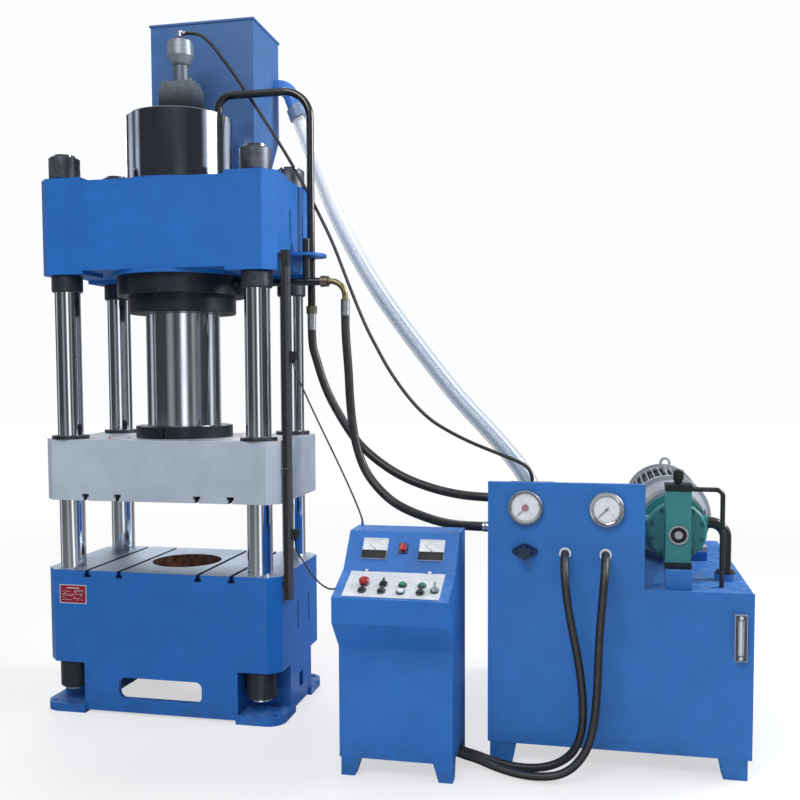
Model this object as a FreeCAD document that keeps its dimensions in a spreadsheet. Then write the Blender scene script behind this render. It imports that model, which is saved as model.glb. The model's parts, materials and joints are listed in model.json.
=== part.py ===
import FreeCAD, Part
import Sketcher
import math
import os

# Four-column hydraulic press with its control console and power unit.
# Millimetres. X to the right, Y to the rear, Z up. The origin is on the floor,
# in the middle of the four anchor bolts; the ram moves on the Z axis.

SIZES = {
    # press frame
    "column_spacing_x": 1094,
    "column_spacing_y": 562,
    "column_radius": 67.5,
    "column_end_radius": 60,
    "column_end_clearance": 0.3,
    "corner_chamfer": 62,
    "bed_width": 1352,
    "bed_depth": 740,
    "bed_top": 785,
    "bed_ground_gap": 15,
    "bed_web_width": 888,
    "bed_web_depth": 368,
    "corner_recess_top": 275,
    "foot_thickness": 45,
    "foot_reach_x": 690,
    "foot_reach_y": 386,
    "foot_inner_x": 436,
    "foot_inner_y": 140,
    "foot_corner_radius": 90,
    "anchor_x": 640,
    "anchor_y": 338,
    "anchor_hole_radius": 14,
    "bed_bore_radius": 194,
    "window_width": 480,
    "window_bottom": 92,
    "window_height": 114,
    "window_radius": 35,
    "bed_plate": 28,
    "side_slot_width": 14,
    "side_slot_depth": 22,
    "bed_side_slot_low": 434,
    "bed_side_slot_height": 166,
    "bed_side_slot_front_y": -45,
    "bed_side_slot_rear_y": 150,
    "cleat_hole_width": 70,
    "cleat_hole_height": 86,
    "cleat_hole_low": 98,
    "slot_inner_x": 228,
    "slot_outer_x": 417,
    "slot_mouth": 22,
    "slot_mouth_depth": 20,
    "slot_foot": 40,
    "slot_foot_height": 17,
    "crown_width": 1342,
    "crown_depth": 742,
    "crown_low": 2385,
    "crown_high": 2895,
    "crown_recess_top": 18,
    "crown_recess_bottom": 20,
    "crown_boss_x": 405,
    "crown_boss_y": 150,
    "crown_pad_radius": 345,
    "crown_pad_height": 14,
    "crown_ring_radius": 385,
    "crown_slot_height": 160,
    "crown_slot_low": 2570,
    "crown_slot_front_y": -100,
    "crown_slot_rear_y": 117,
    "nut_radius": 82,
    "nut_height": 122,
    "nut_chamfer": 7,
    "lock_nut_height": 90,
    "low_nut_height": 150,
    "column_tip": 12,
    # cylinder and ram
    "cylinder_radius": 290,
    "cylinder_bore_radius": 225,
    "cylinder_top": 3265,
    "cylinder_cap": 50,
    "cylinder_seat_clearance": 0.3,
    "clamp_ring_radius": 355,
    "clamp_ring_height": 105,
    "gland_radius": 296,
    "gland_height": 95,
    "seal_width": 14,
    "seal_height": 40,
    "seal_step": 22,
    "ram_radius": 204,
    "ram_clearance": 0.08,
    "piston_height": 110,
    "piston_bottom": 2535,
    "prefill_port_radius": 60,
    # slide
    "slide_bottom": 1167,
    "slide_height": 330,
    "slide_width": 1352,
    "slide_depth": 734,
    "bush_radius": 84,
    "bush_flange_radius": 98,
    "bush_flange_height": 20,
    "bush_fit": 0.05,
    "ram_flange_radius": 268,
    "ram_flange_height": 65,
    "ram_flange_split": 8,
    "ram_groove_depth": 16,
    "ram_groove_height": 26,
    "ram_groove_level": 18,
    "flange_screw_radius": 12,
    "flange_screw_head": 12,
    "flange_screw_circle": 240,
    "striker_height": 36,
    "striker_width": 34,
    "striker_past_rail": 6,
    "striker_ramp": 7,
    "striker_y": -233,
    "striker_bottom": 1343,
    # limit switch rail
    "rail_gap": 8,
    "rail_leg": 40,
    "rail_wall": 5,
    "rail_y": -300,
    "rail_bottom": 656,
    "rail_top": 2487,
    "switch_width": 34,
    "switch_depth": 38,
    "switch_height": 46,
    "upper_switch_z": 1941,
    "lower_switch_z": 1007,
    "lever_pin_radius": 4,
    "lever_arm": 46,
    "lever_width": 12,
    "lever_thickness": 4,
    "roller_radius": 8,
    "roller_width": 8,
    # nameplate, measured from the left edge of the bed
    "plate_width": 160,
    "plate_height": 104,
    "plate_thickness": 2,
    "plate_x": 174,
    "plate_z": 652,
    # prefill valve and filling tank
    "valve_width": 200,
    "valve_depth": 150,
    "valve_height": 203,
    "valve_y": 24,
    "valve_plate_height": 28,
    "valve_plate_step": 9,
    "valve_screw_radius": 9,
    "valve_neck_radius": 44,
    "valve_neck_height": 92,
    "valve_head_radius": 72,
    "valve_head_height": 145,
    "valve_head_taper": 56,
    "pilot_post": 38,
    "prefill_pipe_radius": 58,
    "prefill_pipe_level": 95,
    "tank_width": 640,
    "tank_front": 310,
    "tank_depth": 440,
    "tank_high": 3900,
    "tank_rear_low": 3305,
    "tank_foot_depth": 150,
    "tank_wall": 6,
    "lid_overhang": 7,
    "lid_thickness": 12,
    "elbow_radius": 47,
    "elbow_y": 690,
    "elbow_level": 3618,
    "elbow_reach": 82,
    "elbow_bend_radius": 90,
    "elbow_drop": 115.8,
    "elbow_collar": 58,
    "elbow_collar_length": 62,
    # rigid pipes at the press
    "pipe_radius": 21,
    "pipe_wall": 5,
    "upper_pipe_x": 207,
    "upper_pipe_y": 60,
    "upper_pipe_run": 3398,
    "upper_pipe_out": 67,
    "upper_pipe_end": 2222,
    "upper_bend_first": 75,
    "upper_bend_second": 150,
    "lower_pipe_y": -60,
    "lower_pipe_z": 2345,
    "lower_pipe_end": 829,
    "stub_x": 76,
    "stub_top": 2575,
    "flange_boss_radius": 36,
    "flange_boss_height": 22,
    "bracket_width": 165,
    "bracket_depth": 220,
    "bracket_thickness": 14,
    "bracket_z": 2484,
    "bracket_clearance": 0.3,
    "union_radius": 29,
    "union_length": 42,
    "ferrule_radius": 24,
    "ferrule_length": 88,
    "fitting_elbow_radius": 82,
    "fitting_pipe_radius": 16,
    # hoses and cables
    "pressure_hose_radius": 23,
    "return_hose_radius": 47,
    "pilot_cable_radius": 9,
    "conduit_radius": 19,
    "switch_cable_radius": 4.5,
    # control console
    "console_left": 1145,
    "console_front": -880,
    "console_width": 527,
    "console_depth": 392,
    "console_foot": 85,
    "console_shelf": 601,
    "console_reach": 119,
    "console_nose_low": 739,
    "console_nose_high": 853,
    "console_deck_rise": 88,
    "console_deck_run": 212,
    "console_panel_rise": 159,
    "console_panel_run": 128,
    "console_wall": 4,
    "console_leg_width": 90,
    "console_leg_tip": 64,
    "console_leg_inset": 8,
    "deck_margin_side": 44,
    "deck_margin_low": 14,
    "deck_margin_high": 20,
    "deck_thickness": 3,
    "deck_gap": 0.6,
    "deck_hinge_radius": 5,
    "deck_hinge_length": 44,
    "deck_hinge_inset": 72,
    "control_column_first": 129,
    "control_pitch": 88,
    "control_row_low": 57,
    "control_row_high": 108,
    "lever_control_x": 455,
    "lever_control_y": 75,
    "bezel_radius": 20,
    "bezel_height": 8,
    "button_radius": 14,
    "button_height": 12,
    "button_hole_clearance": 0.5,
    "button_stem": 20,
    "button_travel": 4,
    "mushroom_radius": 24,
    "mushroom_lift": 16,
    "selector_handle": 34,
    "meter_width": 117,
    "meter_height": 106,
    "meter_depth": 14,
    "meter_black": 42,
    "meter_left_x": 137,
    "meter_right_x": 406,
    "meter_row": 106,
    "meter_needle_length": 38,
    "power_switch_x": 270,
    "power_switch_row": 113,
    "power_base_width": 42,
    "power_base_height": 50,
    "power_base_depth": 8,
    "power_knob_radius": 17,
    "power_knob_height": 24,
    "door_margin": 40,
    "door_low": 150,
    "door_high": 980,
    "door_thickness": 3,
    "door_gap": 1,
    "door_hinge_radius": 6,
    "cable_opening_width": 190,
    "cable_opening_depth": 150,
    "clamp_bar_z": 340,
    "clamp_bar_height": 30,
    # power unit
    "unit_left": 1795,
    "unit_front": -590,
    "unit_width": 1195,
    "unit_bottom": 96,
    "unit_tank_depth": 1425,
    "unit_tank_top": 850,
    "unit_tank_wall": 6,
    "panel_high": 1337,
    "panel_low": 856,
    "panel_step": 717,
    "panel_thickness": 4,
    "panel_corner": 22,
    "unit_foot_width": 124,
    "unit_foot_tip": 106,
    "unit_foot_depth": 110,
    "unit_foot_inset_left": 11,
    "unit_foot_inset_right": 18,
    "gauge_row": 1221,
    "gauge_left_x": 176,
    "gauge_right_x": 545,
    "gauge_radius": 80,
    "gauge_front": 26,
    "gauge_back": 34,
    "gauge_needle_length": 52,
    "relief_x": 174,
    "relief_z": 1015,
    "relief_flange_radius": 36,
    "relief_flange_depth": 12,
    "relief_ear_radius": 15,
    "relief_ear_reach": 45,
    "relief_neck_radius": 17,
    "relief_reach": 34,
    "relief_knob_radius": 33,
    "gland_left_x": 359,
    "gland_right_x": 542,
    "gland_z": 1012,
    "grommet_radius": 27,
    "level_x": 1136,
    "level_bottom": 553,
    "level_height": 211,
    "level_width": 54,
    "level_depth": 24,
    "level_tube_radius": 9,
    "valve_block_x": 60,
    "valve_block_y": 90,
    "valve_block_width": 300,
    "valve_block_depth": 400,
    "hose_port_upper_y": -170,
    "hose_port_upper_z": 1209,
    "hose_port_lower_y": -430,
    "hose_port_lower_z": 1099,
    # motor and pump
    "shaft_x": 2665,
    "shaft_z": 1098,
    "motor_front_y": 135,
    "pump_front": -500,
    "pump_box_width": 113,
    "pump_box_depth": 110,
    "pump_box_low": 967,
    "pump_box_high": 1301,
    "pump_cap": 30,
    "pump_cap_lip": 3,
    "pump_rim_radius": 138,
    "pump_rim_depth": 40,
    "pump_body_radius": 108,
    "pump_body_length": 170,
    "pump_flange_radius": 150,
    "pump_flange_depth": 30,
    "pump_port_y": -270,
    "pump_port_z": 1125,
    "pump_port_reach": 150,
    "pump_port_radius": 36,
    "pump_dial_radius": 44,
    "pump_dial_height": 10,
    "handwheel_radius": 24,
    "handwheel_height": 62,
    "pedestal_depth": 120,
    "bell_front_radius": 158,
    "bell_wall": 14,
    "bell_length": 285,
    "motor_flange_radius": 209,
    "motor_flange_depth": 24,
    "motor_body_radius": 178,
    "motor_fin_radius": 203,
    "motor_fin_width": 5,
    "motor_body_length": 540,
    "motor_cowl_radius": 207,
    "motor_cowl_length": 136,
    "motor_cowl_wall": 3,
    "motor_foot_length": 90,
    "motor_foot_width": 320,
    "motor_foot_height": 22,
    "rail_beam_width": 80,
    "rotor_radius": 118,
    "rotor_shaft_radius": 24,
    "fan_radius": 170,
    "coupling_radius": 55,
    "eye_radius": 24,
    "eye_rod": 8,
    "drain_radius": 11,
    "drain_y": -445,
    "drain_z": 1304,
    "drain_x": 2864,
    "drain_bend": 32,
    "suction_radius": 27,
    "suction_x": 2900,
    "suction_bend": 70,
    "suction_flange_radius": 42,
    "suction_flange_z": 884,
}

doc = FreeCAD.newDocument("HydraulicPress")
sheet = doc.addObject("Spreadsheet::Sheet", "Sizes")
for row, (alias, number) in enumerate(SIZES.items(), start=1):
    sheet.set("A%d" % row, alias)
    sheet.set("B%d" % row, str(number))
    sheet.setAlias("B%d" % row, alias)
doc.recompute()


class Size:
    """A number that remembers the spreadsheet formula it comes from."""

    def __init__(self, formula, value):
        self.formula = formula
        self.value = value

    def __float__(self):
        return self.value

    def __add__(self, other):
        return joined(self, "+", other, self.value + float(other))

    def __radd__(self, other):
        return lifted(other) + self

    def __sub__(self, other):
        return joined(self, "-", other, self.value - float(other))

    def __rsub__(self, other):
        return lifted(other) - self

    def __mul__(self, other):
        return joined(self, "*", other, self.value * float(other))

    def __rmul__(self, other):
        return lifted(other) * self

    def __truediv__(self, other):
        return joined(self, "/", other, self.value / float(other))

    def __neg__(self):
        return lifted(0) - self


def lifted(number):
    """Gives a plain number the form of a Size."""
    if isinstance(number, Size):
        return number
    return Size("(%.9g)" % number, float(number))


def root(size):
    return Size("sqrt(%s)" % size.formula, math.sqrt(size.value))


def joined(left, sign, right, value):
    return Size("(%s %s %s)" % (left.formula, sign, lifted(right).formula), value)


def widest(*sizes):
    """The largest of some sizes, as a spreadsheet formula."""
    formula = "max(" + "; ".join(size.formula for size in sizes) + ")"
    return Size(formula, max(size.value for size in sizes))


class Sheet:
    """Reads each cell of the spreadsheet by its alias."""

    def __getattr__(self, alias):
        return Size("Sizes." + alias, float(sheet.get(alias)))


s = Sheet()


def bind(item, prop, size):
    item.setExpression(prop, lifted(size).formula)


def placed(item, x=0, y=0, z=0, turn=None):
    """Puts an object at a point whose coordinates are sizes."""
    point = FreeCAD.Vector(float(x), float(y), float(z))
    item.Placement = FreeCAD.Placement(point, turn or FreeCAD.Rotation())
    for axis, size in zip("xyz", (x, y, z)):
        if isinstance(size, Size):
            bind(item, "Placement.Base." + axis, size)
    return item


def turned_about(axis, degrees):
    return FreeCAD.Rotation(FreeCAD.Vector(*axis), degrees)


TO_FRONT = turned_about((1, 0, 0), 90)
TO_REAR = turned_about((1, 0, 0), -90)
TO_RIGHT = turned_about((0, 1, 0), 90)
TO_LEFT = turned_about((0, 1, 0), -90)


def block(name, length, width, height, x=0, y=0, z=0, turn=None):
    """Box from its low corner."""
    box = doc.addObject("Part::Box", name)
    bind(box, "Length", length)
    bind(box, "Width", width)
    bind(box, "Height", height)
    return placed(box, x, y, z, turn)


def rod(name, radius, height, x=0, y=0, z=0, turn=None):
    """Cylinder that stands on its base point."""
    cylinder = doc.addObject("Part::Cylinder", name)
    bind(cylinder, "Radius", radius)
    bind(cylinder, "Height", height)
    return placed(cylinder, x, y, z, turn)


def taper(name, low, high, height, x=0, y=0, z=0, turn=None):
    """Truncated cone that stands on its base point."""
    cone = doc.addObject("Part::Cone", name)
    bind(cone, "Radius1", low)
    bind(cone, "Radius2", high)
    bind(cone, "Height", height)
    return placed(cone, x, y, z, turn)


def union(name, *pieces):
    joint = doc.addObject("Part::MultiFuse", name)
    joint.Shapes = list(pieces)
    return joint


def cut(name, base, *tools):
    difference = doc.addObject("Part::Cut", name)
    difference.Base = base
    difference.Tool = tools[0] if len(tools) == 1 else union(name + "_tools", *tools)
    return difference


def group(name, *pieces):
    """Separate solids that share one node."""
    compound = doc.addObject("Part::Compound", name)
    compound.Links = list(pieces)
    return compound


def copied(name, source, x=0, y=0, z=0, turn=None):
    link = doc.addObject("App::Link", name)
    link.LinkedObject = source
    return placed(link, x, y, z, turn)


def shaped(name, shape):
    """Object whose shape is made by Part's own functions."""
    feature = doc.addObject("Part::Feature", name)
    feature.Shape = shape
    return feature


def body_of(name, x=0, y=0, z=0, turn=None):
    return placed(doc.addObject("PartDesign::Body", name), x, y, z, turn)


def sketch(body, name, role, height=0):
    """Empty sketch on one of the body's own origin planes."""
    plane = next(item for item in body.Origin.OriginFeatures if item.Role == role)
    drawing = body.newObject("Sketcher::SketchObject", name)
    drawing.AttachmentSupport = [(plane, "")]
    drawing.MapMode = "FlatFace"
    if isinstance(height, Size):
        bind(drawing, "AttachmentOffset.Base.z", height)
    return drawing


def constrain(drawing, kind, places, size):
    index = drawing.addConstraint(Sketcher.Constraint(kind, *places, float(size)))
    if isinstance(size, Size):
        drawing.setExpression("Constraints[%d]" % index, size.formula)


def outline(drawing, corners):
    """Closed loop of lines; each corner's two coordinates are dimensions."""
    points = [FreeCAD.Vector(float(x), float(y), 0) for x, y in corners]
    first = drawing.GeometryCount
    count = len(points)
    for index, point in enumerate(points):
        following = points[(index + 1) % count]
        drawing.addGeometry(Part.LineSegment(point, following))
    for index in range(count):
        following = first + (index + 1) % count
        drawing.addConstraint(Sketcher.Constraint("Coincident", first + index, 2, following, 1))
    for index, (x, y) in enumerate(corners):
        for kind, size, axis in (("DistanceX", x, -2), ("DistanceY", y, -1)):
            if isinstance(size, Size) or size:
                constrain(drawing, kind, (-1, 1, first + index, 1), size)
            else:
                drawing.addConstraint(Sketcher.Constraint("PointOnObject", first + index, 1, axis))


def circle(drawing, x, y, radius):
    centre = FreeCAD.Vector(float(x), float(y), 0)
    ring = drawing.addGeometry(Part.Circle(centre, FreeCAD.Vector(0, 0, 1), float(radius)))
    constrain(drawing, "Radius", (ring,), radius)
    for kind, size, axis in (("DistanceX", x, -2), ("DistanceY", y, -1)):
        if isinstance(size, Size) or size:
            constrain(drawing, kind, (-1, 1, ring, 3), size)
        else:
            drawing.addConstraint(Sketcher.Constraint("PointOnObject", ring, 3, axis))


def rectangle(drawing, low_x, low_y, high_x, high_y):
    outline(drawing, [(low_x, low_y), (high_x, low_y), (high_x, high_y), (low_x, high_y)])


def pad(body, name, drawing, length, centred=False, backward=False):
    feature = body.newObject("PartDesign::Pad", name)
    feature.Profile = drawing
    feature.SideType = "Symmetric" if centred else "One side"
    feature.Reversed = backward
    bind(feature, "Length", length)
    doc.recompute()
    return feature


def pocket(body, name, drawing, length, centred=False, backward=False):
    """Cuts away, and stops the build if nothing was removed."""
    before = body.Shape.Volume
    feature = body.newObject("PartDesign::Pocket", name)
    feature.Profile = drawing
    feature.SideType = "Symmetric" if centred else "One side"
    feature.Reversed = backward
    bind(feature, "Length", length)
    doc.recompute()
    if body.Shape.Volume >= before:
        raise ValueError(name + " removes nothing")
    return feature


def dressed(body, name, kind, feature, size, wanted):
    """Rounds or chamfers the edges of a feature that answer a test."""
    names = ["Edge%d" % (index + 1) for index, edge in enumerate(feature.Shape.Edges)
             if wanted(edge)]
    dress = body.newObject("PartDesign::" + kind, name)
    dress.Base = (feature, names)
    bind(dress, "Radius" if kind == "Fillet" else "Size", size)
    doc.recompute()
    return dress


def lathe(name, corners, x=0, y=0, z=0, turn=None):
    """Turned piece: corners are (radius, height) pairs round its own Z axis."""
    body = body_of(name, x, y, z, turn)
    drawing = sketch(body, name + "_profile", "XZ_Plane")
    outline(drawing, corners)
    revolution = body.newObject("PartDesign::Revolution", name + "_turned")
    revolution.Profile = drawing
    revolution.ReferenceAxis = (drawing, ["V_Axis"])
    revolution.Angle = 360
    return body


def upright(edge):
    """True for a straight edge along Z."""
    start, end = edge.Vertexes[0].Point, edge.Vertexes[-1].Point
    return math.hypot(start.x - end.x, start.y - end.y) < 0.001 < abs(start.z - end.z)


def corner_at(half_width, half_depth):
    """Test for the upright edges at the corners of a centred rectangle."""
    def wanted(edge):
        point = edge.Vertexes[0].Point
        far = abs(abs(point.x) - float(half_width)) + abs(abs(point.y) - float(half_depth))
        return upright(edge) and far < 0.01
    return wanted


NODES = []


def node(item, label):
    """Names the object that is written to its own file."""
    item.Label = label
    NODES.append(item)
    return item


def radii_text(name, radii):
    if radii:
        print("%s arcs from %.0f to %.0f mm" % (name, min(radii), max(radii)))


def path_through(points, name):
    """Straight runs joined by tangent arcs, as large as the runs allow."""
    share = 0.45
    corners = [FreeCAD.Vector(*(float(value) for value in point)) for point in points]
    edges = []
    radii = []
    last = corners[0]
    for before, here, after in zip(corners, corners[1:], corners[2:]):
        arriving = here - before
        leaving = after - here
        turn = arriving.getAngle(leaving)
        reach = share * min(arriving.Length, leaving.Length)
        arriving.normalize()
        leaving.normalize()
        start = here - arriving * reach
        end = here + leaving * reach
        radius = reach / math.tan(turn / 2)
        inward = leaving - arriving
        inward.normalize()
        middle = here + inward * (radius / math.cos(turn / 2) - radius)
        edges.append(Part.LineSegment(last, start).toShape())
        edges.append(Part.Arc(start, middle, end).toShape())
        radii.append(radius)
        last = end
    edges.append(Part.LineSegment(last, corners[-1]).toShape())
    radii_text(name, radii)
    return Part.Wire(edges)


def swept(name, path, radius, bore=0):
    """Round tube along a path; its volume is compared with section times length."""
    start = path.Edges[0].Vertexes[0].Point
    toward = path.Edges[0].tangentAt(path.Edges[0].FirstParameter)
    shapes = []
    for size in (radius, bore):
        if float(size) > 0:
            ring = Part.Wire([Part.makeCircle(float(size), start, toward)])
            shapes.append(path.makePipeShell([ring], True, False))
    tube = shapes[0].cut(shapes[1]) if len(shapes) == 2 else shapes[0]
    section = math.pi * (float(radius) ** 2 - float(bore) ** 2)
    if abs(tube.Volume / (section * path.Length) - 1) > 0.01:
        raise ValueError(name + " has the wrong volume")
    return tube


def cord(name, points, radius):
    return shaped(name, swept(name, path_through(points, name), radius))


def bent_pipe(name, points, bend_radii, radius, bore=0):
    """Rigid pipe: straight runs with a bend of a given radius at each corner."""
    corners = [FreeCAD.Vector(*(float(value) for value in point)) for point in points]
    edges = []
    last = corners[0]
    for before, here, after, bend in zip(corners, corners[1:], corners[2:], bend_radii):
        arriving = (here - before).normalize()
        leaving = (after - here).normalize()
        turn = arriving.getAngle(leaving)
        reach = float(bend) * math.tan(turn / 2)
        start = here - arriving * reach
        end = here + leaving * reach
        inward = (leaving - arriving).normalize()
        middle = here + inward * (float(bend) / math.cos(turn / 2) - float(bend))
        edges.append(Part.LineSegment(last, start).toShape())
        edges.append(Part.Arc(start, middle, end).toShape())
        last = end
    edges.append(Part.LineSegment(last, corners[-1]).toShape())
    return swept(name, Part.Wire(edges), radius, bore)


half_x = s.column_spacing_x / 2
half_y = s.column_spacing_y / 2
COLUMNS = [(-half_x, -half_y), (half_x, -half_y), (-half_x, half_y), (half_x, half_y)]
QUARTERS = [(-1, -1), (1, -1), (-1, 1), (1, 1)]
column_hole_radius = s.column_end_radius + s.column_end_clearance
window_top = s.window_bottom + s.window_height


def slot_outline(x, face, inward):
    """T-slot section in the XZ plane that opens at a face."""
    neck = s.slot_mouth / 2
    foot = s.slot_foot / 2
    floor = s.slot_mouth_depth + s.slot_foot_height
    sides = [(neck, 0), (neck, s.slot_mouth_depth), (foot, s.slot_mouth_depth), (foot, floor)]
    right = [(x + across, face + depth * inward) for across, depth in sides]
    left = [(x - across, face + depth * inward) for across, depth in reversed(sides)]
    return right + left


def slots(body, name, face, inward, length):
    """Four T-slots along the depth of a table."""
    drawing = sketch(body, name + "_sketch", "XZ_Plane")
    for x in (-s.slot_outer_x, -s.slot_inner_x, s.slot_inner_x, s.slot_outer_x):
        outline(drawing, slot_outline(x, face, inward))
    return pocket(body, name, drawing, length, centred=True)


def side_slots(body, name, face, rows, low, height):
    """Upright slots sunk in the right side face."""
    side = sketch(body, name + "_sketch", "YZ_Plane", face)
    for y in rows:
        rectangle(side, y - s.side_slot_width / 2, low, y + s.side_slot_width / 2,
                  low + height)
    pocket(body, name, side, s.side_slot_depth)


def bed():
    """Welded table frame with recessed corners for the lower column nuts."""
    body = body_of("bed_body")
    plan = sketch(body, "bed_plan", "XY_Plane", s.bed_ground_gap)
    rectangle(plan, -s.bed_width / 2, -s.bed_depth / 2, s.bed_width / 2, s.bed_depth / 2)
    for x, y in COLUMNS:
        circle(plan, x, y, column_hole_radius)
    block_height = s.bed_top - s.bed_ground_gap
    frame = pad(body, "bed_frame", plan, block_height)
    corners = corner_at(s.bed_width / 2, s.bed_depth / 2)
    dressed(body, "bed_corners", "Chamfer", frame, s.corner_chamfer, corners)
    recess = sketch(body, "bed_recess_sketch", "XY_Plane", s.corner_recess_top)
    for right, rear in QUARTERS:
        rectangle(recess, right * s.bed_web_width / 2, rear * s.bed_web_depth / 2,
                  right * s.bed_width, rear * s.bed_depth)
    pocket(body, "bed_recesses", recess, s.corner_recess_top)
    feet = sketch(body, "bed_feet_sketch", "XY_Plane")
    for right, rear in QUARTERS:
        rectangle(feet, right * s.foot_inner_x, rear * s.foot_inner_y,
                  right * s.foot_reach_x, rear * s.foot_reach_y)
    base = pad(body, "bed_feet", feet, s.foot_thickness)
    corners = corner_at(s.foot_reach_x, s.foot_reach_y)
    dressed(body, "foot_corners", "Fillet", base, s.foot_corner_radius, corners)
    anchors = sketch(body, "anchor_sketch", "XY_Plane", s.foot_thickness)
    for right, rear in QUARTERS:
        circle(anchors, right * s.anchor_x, rear * s.anchor_y, s.anchor_hole_radius)
    pocket(body, "anchor_holes", anchors, s.foot_thickness)
    window = sketch(body, "window_sketch", "XZ_Plane")
    rectangle(window, -s.window_width / 2, s.window_bottom, s.window_width / 2, window_top)
    opening = pocket(body, "window", window, s.bed_depth * 2, centred=True)

    def window_corner(edge):
        start, end = edge.Vertexes[0].Point, edge.Vertexes[-1].Point
        along = abs(start.y - end.y) > float(s.bed_depth) * 0.9
        return along and abs(abs(start.x) - float(s.window_width) / 2) < 0.01

    dressed(body, "window_corners", "Fillet", opening, s.window_radius, window_corner)
    hollow = sketch(body, "hollow_sketch", "XY_Plane", window_top)
    reach_x = s.bed_web_width / 2 - s.bed_plate
    reach_y = s.bed_depth / 2 - s.bed_plate
    rectangle(hollow, -reach_x, -reach_y, reach_x, reach_y)
    pocket(body, "base_hollow", hollow, window_top)
    side_slots(body, "bed_side_slots", s.bed_width / 2,
               (s.bed_side_slot_front_y, s.bed_side_slot_rear_y),
               s.bed_side_slot_low, s.bed_side_slot_height)
    bore = sketch(body, "bore_sketch", "XY_Plane", s.bed_top)
    circle(bore, 0, 0, s.bed_bore_radius)
    pocket(body, "bed_bore", bore, s.bed_top - s.window_bottom - s.window_height / 2)
    slots(body, "bed_slots", s.bed_top, -1, s.bed_depth * 2)
    return body


def column_profile():
    """Column with a shoulder on the table and a long threaded upper end."""
    foot = s.corner_recess_top - s.low_nut_height - s.column_tip
    shoulder = s.crown_low - s.lock_nut_height
    tip = s.crown_high + s.nut_height + s.column_tip
    return [(0, foot), (s.column_end_radius, foot), (s.column_end_radius, s.bed_top),
            (s.column_radius, s.bed_top), (s.column_radius, shoulder),
            (s.column_end_radius, shoulder), (s.column_end_radius, tip), (0, tip)]


def nut_profile(low, height):
    inner = s.column_end_radius + s.column_end_clearance
    high = low + height
    chamfer = s.nut_chamfer
    return [(inner, low), (s.nut_radius - chamfer, low), (s.nut_radius, low + chamfer),
            (s.nut_radius, high - chamfer), (s.nut_radius - chamfer, high), (inner, high)]


def at_columns(name, source):
    """The turned piece at the first column and its three copies."""
    first_x, first_y = COLUMNS[0]
    placed(source, first_x, first_y)
    pieces = [source]
    for index, (x, y) in enumerate(COLUMNS[1:], start=2):
        pieces.append(copied("%s_%d" % (name, index), source, x, y))
    return pieces


def crown():
    """Upper crosshead: raised corner seats, a ring for the cylinder, pipe bracket."""
    body = body_of("crown_body")
    half_width = s.crown_width / 2
    half_depth = s.crown_depth / 2
    height = s.crown_high - s.crown_low
    plan = sketch(body, "crown_plan", "XY_Plane", s.crown_low)
    rectangle(plan, -half_width, -half_depth, half_width, half_depth)
    for x, y in COLUMNS:
        circle(plan, x, y, column_hole_radius)
    main = pad(body, "crown_main", plan, height)
    corners = corner_at(half_width, half_depth)
    dressed(body, "crown_corners", "Chamfer", main, s.corner_chamfer, corners)
    top = sketch(body, "crown_top_sketch", "XY_Plane", s.crown_high)
    bottom = sketch(body, "crown_bottom_sketch", "XY_Plane", s.crown_low)
    for drawing in (top, bottom):
        outline(drawing, cross_outline())
    pocket(body, "crown_top_recess", top, s.crown_recess_top)
    pocket(body, "crown_bottom_recess", bottom, s.crown_recess_bottom, backward=True)
    seat = sketch(body, "crown_seat_sketch", "XY_Plane", s.crown_high - s.crown_recess_top)
    circle(seat, 0, 0, s.crown_pad_radius)
    pad(body, "crown_seat", seat, s.crown_pad_height)
    ring = sketch(body, "crown_ring_sketch", "XY_Plane", s.crown_low)
    circle(ring, 0, 0, s.crown_ring_radius)
    pad(body, "crown_ring", ring, s.crown_recess_bottom)
    bore = sketch(body, "crown_bore_sketch", "XY_Plane", s.crown_high)
    circle(bore, 0, 0, s.cylinder_radius + s.cylinder_seat_clearance)
    pocket(body, "crown_bore", bore, height)
    side_slots(body, "crown_slots", half_width, (s.crown_slot_front_y, s.crown_slot_rear_y),
               s.crown_slot_low, s.crown_slot_height)
    return union("crown_with_bracket", body, pipe_bracket())


def cross_outline():
    """Plus-shaped region between the four corner seats."""
    x, y = s.crown_boss_x, s.crown_boss_y
    far_x, far_y = s.crown_width / 2 + 20, s.crown_depth / 2 + 20
    return [(x, -far_y), (x, -y), (far_x, -y), (far_x, y), (x, y), (x, far_y),
            (-x, far_y), (-x, y), (-far_x, y), (-far_x, -y), (-x, -y), (-x, -far_y)]


pipe_line = s.crown_width / 2 + s.upper_pipe_out
stub_line = s.crown_width / 2 + s.stub_x


def pipe_bracket():
    """Round-ended plate on the crown's right face that holds both steel pipes."""
    body = body_of("bracket_body")
    face = s.crown_width / 2
    plan = sketch(body, "bracket_plan", "XY_Plane", s.bracket_z)
    half = s.bracket_depth / 2
    rectangle(plan, face - 1, -half, face + s.bracket_width, half)
    hole = s.pipe_radius + s.bracket_clearance
    circle(plan, pipe_line, s.upper_pipe_y, hole)
    circle(plan, stub_line, s.lower_pipe_y, hole)
    plate = pad(body, "bracket_plate", plan, s.bracket_thickness)

    def outer(edge):
        point = edge.Vertexes[0].Point
        return upright(edge) and abs(point.x - float(face + s.bracket_width)) < 0.01

    dressed(body, "bracket_round", "Fillet", plate, s.bracket_depth * 0.42, outer)
    return body


slide_top = s.slide_bottom + s.slide_height
clamp_low = s.crown_low - s.clamp_ring_height
gland_low = clamp_low - s.gland_height
boss_face = s.clamp_ring_radius + s.flange_boss_height / 2
piston_top = s.piston_bottom + s.piston_height


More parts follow.
